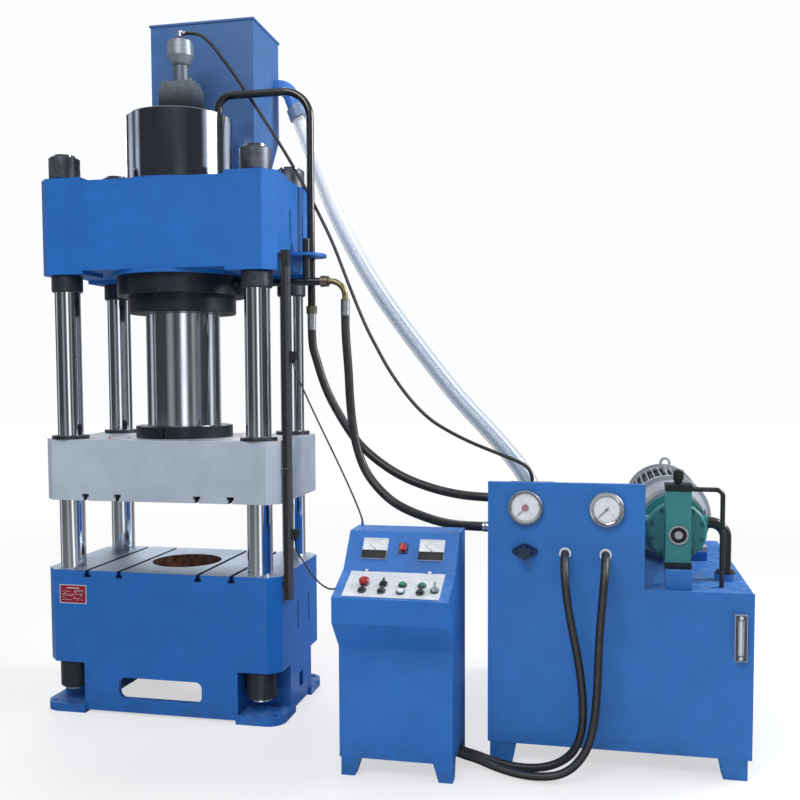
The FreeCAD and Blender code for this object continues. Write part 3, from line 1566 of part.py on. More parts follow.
def gauge_panel():
    """Stepped front panel with folded edges, gauge holes, glands and a valve cap."""
    body = body_of("front_panel_body")
    face = sketch(body, "front_panel_sketch", "XZ_Plane", -s.unit_front)
    step = s.unit_left + s.panel_step
    outline(face, [(s.unit_left, s.unit_bottom), (unit_right, s.unit_bottom),
                   (unit_right, s.panel_low), (step, s.panel_low), (step, s.panel_high),
                   (s.unit_left, s.panel_high)])
    sheet_pad = pad(body, "front_panel_pad", face, s.panel_thickness, backward=True)

    def low_left(edge):
        start, end = edge.Vertexes[0].Point, edge.Vertexes[-1].Point
        corner = abs(start.x - float(s.unit_left)) + abs(start.z - float(s.unit_bottom))
        return corner < 0.01 and abs(start.y - end.y) > 1 and abs(start.x - end.x) < 0.01

    dressed(body, "front_panel_corner", "Fillet", sheet_pad, s.panel_corner, low_left)
    holes = sketch(body, "gauge_holes_sketch", "XZ_Plane", -s.unit_front)
    for x in (s.gauge_left_x, s.gauge_right_x):
        circle(holes, s.unit_left + x, s.gauge_row, s.gauge_radius * 0.78)
    pocket(body, "gauge_holes", holes, s.panel_thickness * 3, centred=True)
    folds = [
        block("panel_fold_left", s.panel_thickness, 34, s.panel_high - s.unit_tank_top,
              s.unit_left, panel_back, s.unit_tank_top),
        block("panel_fold_right", s.panel_thickness, 34, s.panel_high - s.unit_tank_top,
              step - s.panel_thickness, panel_back, s.unit_tank_top),
        block("panel_fold_top", s.panel_step, 34, s.panel_thickness,
              s.unit_left, panel_back, s.panel_high - s.panel_thickness)]
    trims = []
    for name, x in (("left", s.gland_left_x), ("right", s.gland_right_x)):
        trims.append(rod("gland_" + name, s.grommet_radius, 30, s.unit_left + x,
                         panel_back + 14, s.gland_z, TO_FRONT))
    return union("front_panel_union", body, *folds, *trims, *relief_valve())


def relief_valve():
    """Two-bolt flange with neck and spindle on the panel, valve body behind it."""
    x, z = s.unit_left + s.relief_x, s.relief_z
    middle, ear, reach = s.relief_flange_radius, s.relief_ear_radius, s.relief_ear_reach
    depth = s.relief_flange_depth
    lean = math.acos(float(middle - ear) / float(reach))
    near_x, near_y = middle * math.cos(lean), middle * math.sin(lean)
    far_x, far_y = reach + ear * math.cos(lean), ear * math.sin(lean)
    plate = body_of("relief_plate", x, s.unit_front, z, TO_FRONT)
    sides = sketch(plate, "relief_outline", "XY_Plane")
    outline(sides, [(far_x, -far_y), (far_x, far_y), (near_x, near_y), (-near_x, near_y),
                    (-far_x, far_y), (-far_x, -far_y), (-near_x, -near_y),
                    (near_x, -near_y)])
    pad(plate, "relief_pad", sides, depth)
    pieces = [plate, rod("relief_middle", middle, depth, x, s.unit_front, z, TO_FRONT)]
    for index, side in enumerate((-1, 1)):
        pieces.append(rod("relief_ear_%d" % index, ear, depth, x + reach * side,
                          s.unit_front, z, TO_FRONT))
        pieces.append(rod("relief_screw_%d" % index, ear * 0.55, depth + 6,
                          x + reach * side, s.unit_front, z, TO_FRONT))
    pieces.append(rod("relief_neck", s.relief_neck_radius, s.relief_reach - 1, x,
                      s.unit_front, z, TO_FRONT))
    pieces.append(rod("relief_spindle", 7, s.relief_reach + 15, x, s.unit_front, z,
                      TO_FRONT))
    pieces.append(rod("relief_body", 30, 60, x, panel_back, z, TO_REAR))
    return pieces


def gauge_cases():
    """Two pressure gauges with a recessed dial and a centre pin."""
    outer, deep = s.gauge_radius, s.gauge_back
    neck = outer * 0.78 - 0.5
    front = s.gauge_front
    source = lathe("gauge_source", [
        (0, -deep), (neck, -deep), (neck, 0), (outer, 0), (outer, front - 3),
        (outer - 3, front), (outer - 7, front), (outer - 7, front - 12), (3, front - 12),
        (3, front - 3), (0, front - 3)],
        s.unit_left + s.gauge_left_x, s.unit_front, s.gauge_row, TO_FRONT)
    other = copied("gauge_second", source, s.unit_left + s.gauge_right_x, s.unit_front,
                   s.gauge_row, TO_FRONT)
    return group("gauge_pair", source, other)


def gauge_needle(name, x, hub_radius):
    """Needle at rest, pointing down to the left."""
    y = s.unit_front - s.gauge_front + 8
    hub = rod(name + "_hub", hub_radius, 3, x, y, s.gauge_row, TO_FRONT)
    length = s.gauge_needle_length
    turn = turned_about((0, 1, 0), 135)
    tail = turn.multVec(FreeCAD.Vector(-14, 0, -2))
    pointer = block(name + "_pointer", length + 14, 1.5, 4, x + tail.x, y - 2.2,
                    s.gauge_row + tail.z, turn)
    hole = rod(name + "_hole", 3.05, 8, x, y + 2, s.gauge_row, TO_FRONT)
    return cut(name, union(name + "_metal", hub, pointer), hole)


def relief_knob():
    """Lobed hand knob on the relief valve's spindle."""
    x, z = s.unit_left + s.relief_x, s.relief_z
    low = s.unit_front - s.relief_reach
    hub = rod("relief_hub", s.relief_knob_radius * 0.7, 24, x, low, z, TO_FRONT)
    lobes = []
    reach = float(s.relief_knob_radius) * 0.66
    for index in range(6):
        angle = math.radians(index * 60 + 30)
        lobes.append(rod("relief_lobe_%d" % index, s.relief_knob_radius * 0.34, 24,
                         x + reach * math.cos(angle), low, z + reach * math.sin(angle),
                         TO_FRONT))
    hole = rod("relief_hole", 7.05, 18, x, low + 2, z, TO_FRONT)
    return cut("relief_star", union("relief_metal", hub, *lobes), hole)


def valve_block():
    """Manifold behind the panel with three valves and the hose ports."""
    x = s.unit_left + s.valve_block_x
    y = s.unit_front + s.valve_block_y
    z = s.unit_tank_top
    base = block("manifold", s.valve_block_width - 25, s.valve_block_depth, 300, x, y, z)
    upper = block("manifold_upper", s.valve_block_width - 75, 160, 140, x, y + 240, z + 299)
    pilot = block("pilot_valve", 120, 90, 122, x + 70, y + 125, z + 299)
    coil = rod("pilot_coil", 32, 90, x + 190, y + 170, z + 360, TO_RIGHT)
    raised = rod("port_upper", 27, 27, x + 1, s.hose_port_upper_y, s.hose_port_upper_z, TO_LEFT)
    lower = rod("port_lower", 27, 27, x + 1, s.hose_port_lower_y, s.hose_port_lower_z, TO_LEFT)
    post = rod("pilot_port", 13, 20, x + 130, y + 170, z + 420)
    return union("valve_union", base, upper, pilot, coil, raised, lower, post)


def level_gauge():
    """Sight glass in a frame on the front of the tank."""
    x = s.unit_left + s.level_x - s.level_width / 2
    y = s.unit_front - s.level_depth
    frame = block("level_frame", s.level_width, s.level_depth, s.level_height,
                  x, y, s.level_bottom)
    window = block("level_window", s.level_tube_radius * 2 + 2, s.level_depth,
                   s.level_height - 50, s.unit_left + s.level_x - s.level_tube_radius - 1,
                   y - s.level_depth / 2, s.level_bottom + 25)
    tube = rod("level_tube", s.level_tube_radius, s.level_height - 50,
               s.unit_left + s.level_x, y + s.level_depth / 2, s.level_bottom + 25)
    groove = rod("level_groove", s.level_tube_radius + 0.3, s.level_height - 50,
                 s.unit_left + s.level_x, y + s.level_depth / 2, s.level_bottom + 25)
    return group("level_pair", cut("level_holder", frame, window, groove), tube)


motor_front = s.motor_front_y
shaft_bore = s.rotor_shaft_radius + s.bush_fit


def motor():
    """Flange motor: finned frame, end shields, feet, fan cowl and eye bolt."""
    body = body_of("motor_body", s.shaft_x, motor_front, s.shaft_z, TO_REAR)
    flange, frame = s.motor_flange_depth, s.motor_body_radius
    shield = flange + 18
    end = flange + s.motor_body_length
    space = s.rotor_radius + 3
    profile = sketch(body, "motor_profile", "XZ_Plane")
    outline(profile, [(shaft_bore, 0), (s.motor_flange_radius, 0),
                      (s.motor_flange_radius, flange), (frame, flange), (frame, end),
                      (shaft_bore, end), (shaft_bore, end - 18), (space, end - 18),
                      (space, shield), (shaft_bore, shield)])
    turned = body.newObject("PartDesign::Revolution", "motor_turned")
    turned.Profile = profile
    turned.ReferenceAxis = (profile, ["V_Axis"])
    turned.Angle = 360
    doc.recompute()
    fin = sketch(body, "fin_sketch", "XY_Plane", flange)
    half = s.motor_fin_width / 2
    rectangle(fin, frame - 1, -half, s.motor_fin_radius, half)
    fin_pad = pad(body, "fin_pad", fin, s.motor_body_length)
    axis = next(item for item in body.Origin.OriginFeatures if item.Role == "Z_Axis")
    pattern = body.newObject("PartDesign::PolarPattern", "fin_pattern")
    pattern.Originals = [fin_pad]
    pattern.Axis = (axis, [""])
    pattern.Angle = 360
    pattern.Occurrences = 36
    body.Tip = pattern
    doc.recompute()
    rear = motor_front + end
    length, cowl = s.motor_cowl_length, s.motor_cowl_radius
    wall = s.motor_cowl_wall
    hood = lathe("cowl_body", [
        (frame - 2, -12), (cowl, -12), (cowl, length - 10), (cowl - 10, length),
        (60, length), (60, length - wall), (cowl - 10 - wall, length - wall),
        (cowl - wall, length - 10), (cowl - wall, -12 + wall), (frame - 2, -12 + wall)],
        s.shaft_x, rear, s.shaft_z, TO_REAR)
    grille = []
    for index in range(5):
        level = s.shaft_z - 50 + index * 25 - 3
        grille.append(block("grille_bar_%d" % index, 130, wall, 6,
                            s.shaft_x - 65, rear + length - wall, level))
    feet = []
    for index, y in enumerate((215, 515)):
        feet.append(block("motor_foot_%d" % index, s.motor_foot_width + 90, s.motor_foot_length,
                          s.motor_foot_height, s.shaft_x - s.motor_foot_width / 2 - 45, y,
                          motor_base))
        feet.append(block("motor_foot_web_%d" % index, s.motor_foot_width,
                          s.motor_foot_length, 60, s.shaft_x - s.motor_foot_width / 2, y,
                          motor_base + 10))
    ring = doc.addObject("Part::Torus", "eye_ring")
    bind(ring, "Radius1", s.eye_radius)
    bind(ring, "Radius2", s.eye_rod)
    placed(ring, s.shaft_x, 500, s.shaft_z + s.motor_fin_radius + 18 + s.eye_radius, TO_FRONT)
    post = rod("eye_post", 12, 46, s.shaft_x, 500, s.shaft_z + s.motor_body_radius - 4)
    return union("motor_union", body, hood, *grille, *feet, ring, post)


def motor_rotor():
    """Shaft with rotor core, half coupling and cooling fan."""
    shaft, core = s.rotor_shaft_radius, s.rotor_radius
    hub = s.coupling_radius
    end = s.motor_flange_depth + s.motor_body_length
    front = -s.bell_length - 55
    profile = [(0, front), (shaft, front), (shaft, -200), (hub, -200), (hub, -124),
               (hub - 8, -122), (hub - 8, -118), (hub, -116), (hub, -40), (shaft, -40),
               (shaft, 60), (core, 60), (core, end - 44), (shaft, end - 44),
               (shaft, end + 20), (38, end + 20), (38, end + 30), (s.fan_radius, end + 30),
               (s.fan_radius, end + 36), (38, end + 36), (38, end + 80), (0, end + 80)]
    axle = lathe("rotor_body", profile, s.shaft_x, motor_front, s.shaft_z, TO_REAR)
    blades = []
    for index in range(8):
        turn = TO_REAR.multiply(turned_about((0, 0, 1), index * 45))
        blade = doc.addObject("Part::Box", "fan_blade_%d" % index)
        bind(blade, "Length", s.fan_radius - 34)
        bind(blade, "Width", 4)
        bind(blade, "Height", 40)
        centre = FreeCAD.Vector(float(s.shaft_x), float(motor_front + end) + 35,
                                float(s.shaft_z))
        offset = turn.multVec(FreeCAD.Vector(32, -2, 0))
        blade.Placement = FreeCAD.Placement(centre + offset, turn)
        blades.append(blade)
    return union("rotor_union", axle, *blades)


def bell_housing():
    """Cast ring between pump and motor with a window on each side."""
    front, wall = s.bell_front_radius, s.bell_wall
    back = s.motor_flange_radius
    length = s.bell_length
    shell = lathe("bell_body", [
        (62, 0), (front, 0), (front, 22), (front - 10, 26), (back - 20, length - 26),
        (back, length - 22), (back, length), (back - 34, length), (back - 34, length - 24),
        (front - 10 - wall, wall), (62, wall)],
        s.shaft_x, motor_front - length, s.shaft_z, TO_REAR)
    window = block("bell_window", 600, 120, 96, s.shaft_x - 300, motor_front - 200,
                   s.shaft_z - 48)
    return cut("bell_with_windows", shell, window)


def pump():
    """Variable piston pump with its regulator box, cover and suction port."""
    box_front = s.pump_front
    x = s.shaft_x - s.pump_box_width / 2
    box = block("pump_box", s.pump_box_width, s.pump_box_depth,
                s.pump_box_high - s.pump_box_low, x, box_front, s.pump_box_low)
    caps = []
    for index, z in enumerate((s.pump_box_low - s.pump_cap + 2, s.pump_box_high - 2)):
        caps.append(block("pump_cap_%d" % index, s.pump_box_width + s.pump_cap_lip * 2,
                          s.pump_box_depth + s.pump_cap_lip, s.pump_cap,
                          x - s.pump_cap_lip, box_front - s.pump_cap_lip, z))
    rim, body_radius = s.pump_rim_radius, s.pump_body_radius
    first = s.pump_rim_depth
    second = first + s.pump_body_length
    third = second + s.pump_flange_depth
    bore = s.rotor_shaft_radius + s.bush_fit
    case = lathe("pump_case", [
        (0, -6), (rim - 8, -6), (rim, 2), (rim, first), (body_radius, first),
        (body_radius, second), (s.pump_flange_radius, second), (s.pump_flange_radius, third),
        (bore, third), (bore, second - 40), (0, second - 40)],
        s.shaft_x, box_front + s.pump_box_depth, s.shaft_z, TO_REAR)
    bolts = []
    for index in range(10):
        angle = math.radians(index * 36 + 18)
        bolts.append(rod("cover_screw_%d" % index, 9, 12,
                         s.shaft_x + (rim - 18) * math.cos(angle),
                         box_front + s.pump_box_depth - 4,
                         s.shaft_z + (rim - 18) * math.sin(angle), TO_FRONT))
    dial = lathe("pump_dial", [(0, 0), (s.pump_dial_radius, 0),
                               (s.pump_dial_radius, s.pump_dial_height),
                               (s.pump_dial_radius - 8, s.pump_dial_height),
                               (s.pump_dial_radius - 8, 4), (18, 4),
                               (18, s.pump_dial_height + 4), (0, s.pump_dial_height + 4)],
                 s.shaft_x, box_front, s.shaft_z, TO_FRONT)
    port = rod("suction_port", s.pump_port_radius, s.pump_port_reach,
               s.shaft_x, s.pump_port_y, s.pump_port_z, TO_RIGHT)
    outlet = rod("pressure_port", s.pump_port_radius - 6, s.pump_port_reach,
                 s.shaft_x, s.pump_port_y, s.pump_port_z, TO_LEFT)
    spindle = rod("adjuster_spindle", 9, 24, s.shaft_x, box_front + s.pump_box_depth / 2,
                  s.pump_box_high + s.pump_cap - 4)
    solid = union("pump_metal", box, *caps, case, *bolts, dial, port, outlet, spindle)
    shaft_space = rod("pump_shaft_space", bore, 70, s.shaft_x,
                      box_front + s.pump_box_depth + second - 40, s.shaft_z, TO_REAR)
    return cut("pump_union", solid, shaft_space)


def handwheel():
    """Knurled adjuster cap on the regulator."""
    low = s.pump_box_high + s.pump_cap + 2
    radius, high = s.handwheel_radius, s.handwheel_height
    return lathe("handwheel_body", [
        (9.05, 0), (radius - 4, 0), (radius - 4, 14), (radius, 18), (radius, high - 5),
        (radius - 5, high), (0, high), (0, 24), (9.05, 24)],
        s.shaft_x, s.pump_front + s.pump_box_depth / 2, low)


def pump_pipes():
    """Drain pipe from the regulator and suction pipe down to the tank."""
    drain_start = s.shaft_x + s.pump_box_width / 2 + s.pump_cap_lip
    drain = shaped("drain_pipe", bent_pipe(
        "drain pipe", [(drain_start, s.drain_y, s.drain_z), (s.drain_x, s.drain_y, s.drain_z),
                       (s.drain_x, s.drain_y, s.unit_tank_top)],
        [s.drain_bend], s.drain_radius))
    port_end = s.shaft_x + s.pump_port_reach
    suction = shaped("suction_pipe", bent_pipe(
        "suction pipe", [(port_end, s.pump_port_y, s.pump_port_z),
                         (s.suction_x, s.pump_port_y, s.pump_port_z),
                         (s.suction_x, s.pump_port_y, s.unit_tank_top)],
        [s.suction_bend], s.suction_radius))
    flange = rod("suction_flange", s.suction_flange_radius, 12, s.suction_x, s.pump_port_y,
                 s.suction_flange_z)
    pad_ring = rod("suction_weld_ring", s.suction_flange_radius + 8,
                   s.suction_flange_z - s.unit_tank_top, s.suction_x, s.pump_port_y,
                   s.unit_tank_top)
    outlet = shaped("pressure_pipe", bent_pipe(
        "pressure pipe", [(s.shaft_x - s.pump_port_reach, s.pump_port_y, s.pump_port_z),
                          (s.unit_left + s.valve_block_x + s.valve_block_width - 25,
                           s.pump_port_y, s.pump_port_z)], [], s.pipe_radius))
    return group("pipe_set", drain, union("suction_set", suction, flange, pad_ring), outlet)


PILOT_CABLE = [
    (34, 24, 3743), (105, 24, 3743), (172, 38, 3688), (228, 56, 3612), (300, 82, 3510),
    (396, 110, 3361), (532, 118, 3151), (657, 126, 2940), (755, 122, 2759), (856, 88, 2569),
    (950, 51, 2344), (1054, 12, 2111), (1128, -15, 1982), (1204, -43, 1856), (1322, -86, 1707),
    (1436, -128, 1604), (1549, -170, 1544), (1658, -210, 1496), (1776, -253, 1455),
    (1870, -290, 1424), (1952, -319, 1394), (1985, -330, 1346)]
RETURN_HOSE = [
    (555, 680, 3214), (640, 625, 3020), (735, 572, 2807), (895, 506, 2524),
    (1063, 436, 2279), (1200, 380, 2105), (1358, 313, 1913), (1541, 236, 1699),
    (1763, 143, 1484), (1890, 90, 1344), (1975, 55, 1205), (2020, 40, 1065)]
UPPER_HOSE = [
    (766, 56, 1925), (797, 48, 1825), (846, 37, 1714), (924, 21, 1588), (1007, 3, 1475),
    (1113, -19, 1385), (1258, -50, 1298), (1428, -85, 1241), (1593, -130, 1213),
    (1740, -170, 1209)]
LOWER_HOSE = [
    (967, -62, 2029), (981, -66, 1868), (989, -72, 1706), (1007, -79, 1545),
    (1037, -92, 1428), (1086, -113, 1318), (1183, -154, 1217), (1289, -200, 1152),
    (1461, -285, 1106), (1588, -364, 1094), (1690, -412, 1097), (1765, -430, 1099)]
LEFT_CONDUIT = [
    (2154, -652, 1012), (2155, -700, 992), (2157, -736, 956), (2161, -756, 905),
    (2172, -755, 812), (2196, -748, 680), (2226, -742, 530), (2243, -735, 370),
    (2241, -728, 230), (2206, -722, 128), (2134, -716, 64), (2037, -711, 32),
    (1925, -690, 24), (1835, -662, 30), (1755, -628, 40), (1682, -605, 46),
    (1603, -605, 79), (1543, -605, 139), (1510, -605, 218)]
RIGHT_CONDUIT = [
    (2337, -652, 1012), (2336, -700, 992), (2334, -736, 956), (2330, -756, 905),
    (2323, -757, 812), (2314, -752, 700), (2309, -748, 570), (2305, -749, 430),
    (2296, -753, 297), (2272, -762, 178), (2220, -775, 92), (2150, -785, 42),
    (2060, -788, 26), (1960, -774, 24), (1850, -735, 32), (1760, -682, 42),
    (1682, -655, 46), (1603, -655, 79), (1543, -655, 139), (1510, -655, 218)]


def assemble():
    """Builds every node in turn."""
    column = lathe("column_source", column_profile())
    node(bed_with_cleat_hole(), "bed")
    node(group("column_group", *at_columns("column_copy", column)), "columns")
    nuts = []
    for name, low, height in (("foot_nut", s.corner_recess_top - s.low_nut_height,
                               s.low_nut_height),
                              ("lock_nut", s.crown_low - s.lock_nut_height, s.lock_nut_height),
                              ("top_nut", s.crown_high, s.nut_height)):
        source = lathe(name + "_source", nut_profile(low, height))
        nuts += at_columns(name, source)
    node(group("nut_group", *nuts), "column_nuts")
    node(crown(), "crown")
    node(main_cylinder(), "main_cylinder")
    node(clamp_ring(), "cylinder_ring")
    gland = lathe("gland_body", gland_profile())
    node(group("gland_group", gland, lathe("seal_body", seal_profile())), "gland_ring")
    node(prefill_valve(), "prefill_valve")
    node(prefill_head(), "prefill_head")
    node(filling_tank(), "filling_tank")
    elbow, elbow_end, elbow_down = return_elbow()
    node(elbow, "return_elbow")
    node(group("pipe_group", upper_pipe(), lower_pipe()), "press_pipes")
    fittings, upper_end, lower_x, lower_end = hose_fittings()
    node(group("fitting_group", *fittings), "hose_fittings")
    node(limit_rail(), "limit_rod")
    node(group("switch_group", switch_body("upper_switch", s.upper_switch_z),
               switch_body("lower_switch", s.lower_switch_z)), "limit_switches")
    node(nameplate(), "nameplate")
    node(slide(), "slide")
    node(ram(), "ram")
    node(ram_flange(), "ram_flange")
    node(group("bush_group", *at_columns("bush_copy", lathe("bush_source", bush_profile()))),
         "guide_bushes")
    node(striker(), "striker")
    node(switch_lever("upper_lever", s.upper_switch_z), "upper_switch_lever")
    node(switch_lever("lower_lever", s.lower_switch_z), "lower_switch_lever")
    node(console_cabinet(), "console_cabinet")
    node(deck_plate(), "console_deck")
    node(console_door(), "console_door")
    node(group("panel_group", meters(), power_base()), "panel_meters")
    node(meter_needle("pointer_left", s.meter_left_x), "meter_needle_left")
    node(meter_needle("pointer_right", s.meter_right_x), "meter_needle_right")
    node(bezels(), "control_bezels")
    node(power_knob(), "power_switch")
    low, high = s.control_row_low, s.control_row_high
    node(plunger("stop_plunger", s.mushroom_radius, s.mushroom_lift, control_x[0], high),
         "stop_button")
    node(selector("mode_handle", control_x[1], high, s.selector_handle, 14), "mode_selector")
    node(push_button("start_plunger", control_x[2], high), "start_button")
    node(push_button("press_plunger", control_x[3], high), "pressing_button")
    for index, x in enumerate(control_x, start=1):
        node(push_button("button_plunger_%d" % index, x, low), "push_button_%d" % index)
    node(selector("lever_handle", s.lever_control_x, s.lever_control_y,
                  s.selector_handle * 1.3, 20), "lever_selector")
    node(oil_tank(), "oil_tank")
    node(gauge_panel(), "gauge_panel")
    node(gauge_cases(), "gauge_cases")
    node(gauge_needle("gauge_pointer_left", s.unit_left + s.gauge_left_x, 16),
         "gauge_needle_left")
    node(gauge_needle("gauge_pointer_right", s.unit_left + s.gauge_right_x, 7),
         "gauge_needle_right")
    node(relief_knob(), "relief_knob")
    node(motor(), "motor")
    node(motor_rotor(), "motor_rotor")
    node(bell_housing(), "bell_housing")
    node(pump(), "pump")
    node(handwheel(), "pump_handwheel")
    node(pump_pipes(), "pump_pipes")
    node(valve_block(), "valve_block")
    node(level_gauge(), "level_gauge")
    cords(elbow_end, elbow_down, upper_end, lower_x, lower_end)


def cords(elbow_end, elbow_down, upper_end, lower_x, lower_end):
    """Hoses and cables; each starts and ends square to the face it meets."""
    port_x = s.unit_left + s.valve_block_x - 26
    upper_x, upper_y = pipe_line, s.upper_pipe_y
    node(cord("pilot_run", PILOT_CABLE + [
        (s.unit_left + s.valve_block_x + 130, s.unit_front + s.valve_block_y + 170, 1290)],
        s.pilot_cable_radius), "pilot_cable")
    leave = tuple(elbow_end[axis] + elbow_down[axis] * 120 for axis in range(3))
    node(cord("return_run", [elbow_end, leave] + RETURN_HOSE + [
        (2020, 40, s.unit_tank_top + 110)], s.return_hose_radius), "return_hose")
    node(cord("upper_run", [(upper_x, upper_y, upper_end), (upper_x, upper_y, upper_end - 85)]
              + UPPER_HOSE + [(port_x, s.hose_port_upper_y, s.hose_port_upper_z)],
              s.pressure_hose_radius), "pressure_hose_upper")
    node(cord("lower_run", [(lower_x, s.lower_pipe_y, lower_end),
                            (lower_x, s.lower_pipe_y, lower_end - 50)]
              + LOWER_HOSE + [(port_x, s.hose_port_lower_y, s.hose_port_lower_z)],
              s.pressure_hose_radius), "pressure_hose_lower")
    gland_y = panel_back + 14 - 30
    left = cord("left_conduit_run", [(s.unit_left + s.gland_left_x, gland_y, s.gland_z)]
                + LEFT_CONDUIT + [(1510, -605, s.clamp_bar_z)], s.conduit_radius)
    right = cord("right_conduit_run", [(s.unit_left + s.gland_right_x, gland_y, s.gland_z)]
                 + RIGHT_CONDUIT + [(1510, -655, s.clamp_bar_z)], s.conduit_radius)
    node(group("conduit_pair", left, right), "conduits")
    node(switch_cables(), "switch_cables")


def switch_cables():
    """Thin cables from the two limit switches to the console."""
    x = rail_out + s.switch_width / 2
    y = switch_y + s.switch_depth / 2
    drop = s.switch_height / 2 + s.lever_arm / 3
    top_x, top_y, top_z = s.console_left + 22, console_back - 24, roof_z + 18
    side_y, side_z = console_back - 60, hood_z - 120
    high = s.upper_switch_z - drop
    low = s.lower_switch_z - drop
    upper = cord("upper_cable_run", [
        (x, y, high), (x, y, high - 40), (top_x, top_y, top_z + 45), (top_x, top_y, top_z)],
        s.switch_cable_radius)
    lower = cord("lower_cable_run", [
        (x, y, low), (x, y, low - 40), (785, -285, 865), (855, -320, 785), (935, -370, 745),
        (1010, -450, 760), (1070, side_y, side_z), (s.console_left - 18, side_y, side_z)],
        s.switch_cable_radius)
    return group("cable_pair", upper, lower)


def bed_with_cleat_hole():
    """Bed with the square lashing hole low on its right side."""
    hole = block("cleat_hole", s.side_slot_depth * 2, s.cleat_hole_width,
                 s.cleat_hole_height, s.bed_width / 2 - s.side_slot_depth,
                 -s.cleat_hole_width / 2, s.cleat_hole_low)
    return cut("bed_with_hole", bed(), hole)


def nameplate():
    """Thin plate with four rivets on the bed's front."""
    face = -s.bed_depth / 2
    x = -s.bed_width / 2 + s.plate_x - s.plate_width / 2
    z = s.plate_z - s.plate_height / 2
    plate = block("plate_sheet", s.plate_width, s.plate_thickness, s.plate_height,
                  x, face - s.plate_thickness, z)
    rivets = []
    for index, (across, up) in enumerate([(0, 0), (1, 0), (0, 1), (1, 1)]):
        rivets.append(rod("rivet_%d" % index, 3, 2,
                          x + 6 + (s.plate_width - 12) * across, face - s.plate_thickness,
                          z + 6 + (s.plate_height - 12) * up, TO_FRONT))
    return union("plate_union", plate, *rivets)


def check_model():
    """Stops the build on any feature that failed or any empty shape."""
    for item in doc.Objects:
        if "Invalid" in item.State or "Error" in item.State:
            raise ValueError(item.Name + " did not compute")
    for item in NODES:
        if item.Shape.isNull() or not item.Shape.isValid():
            raise ValueError(item.Label + " is not a valid shape")


assemble()
doc.recompute()
check_model()
os.makedirs("parts", exist_ok=True)
for item in NODES:
    item.Shape.exportStep("parts/%s.step" % item.Label)
print("%d nodes written" % len(NODES))
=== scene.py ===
import json
import math
import random

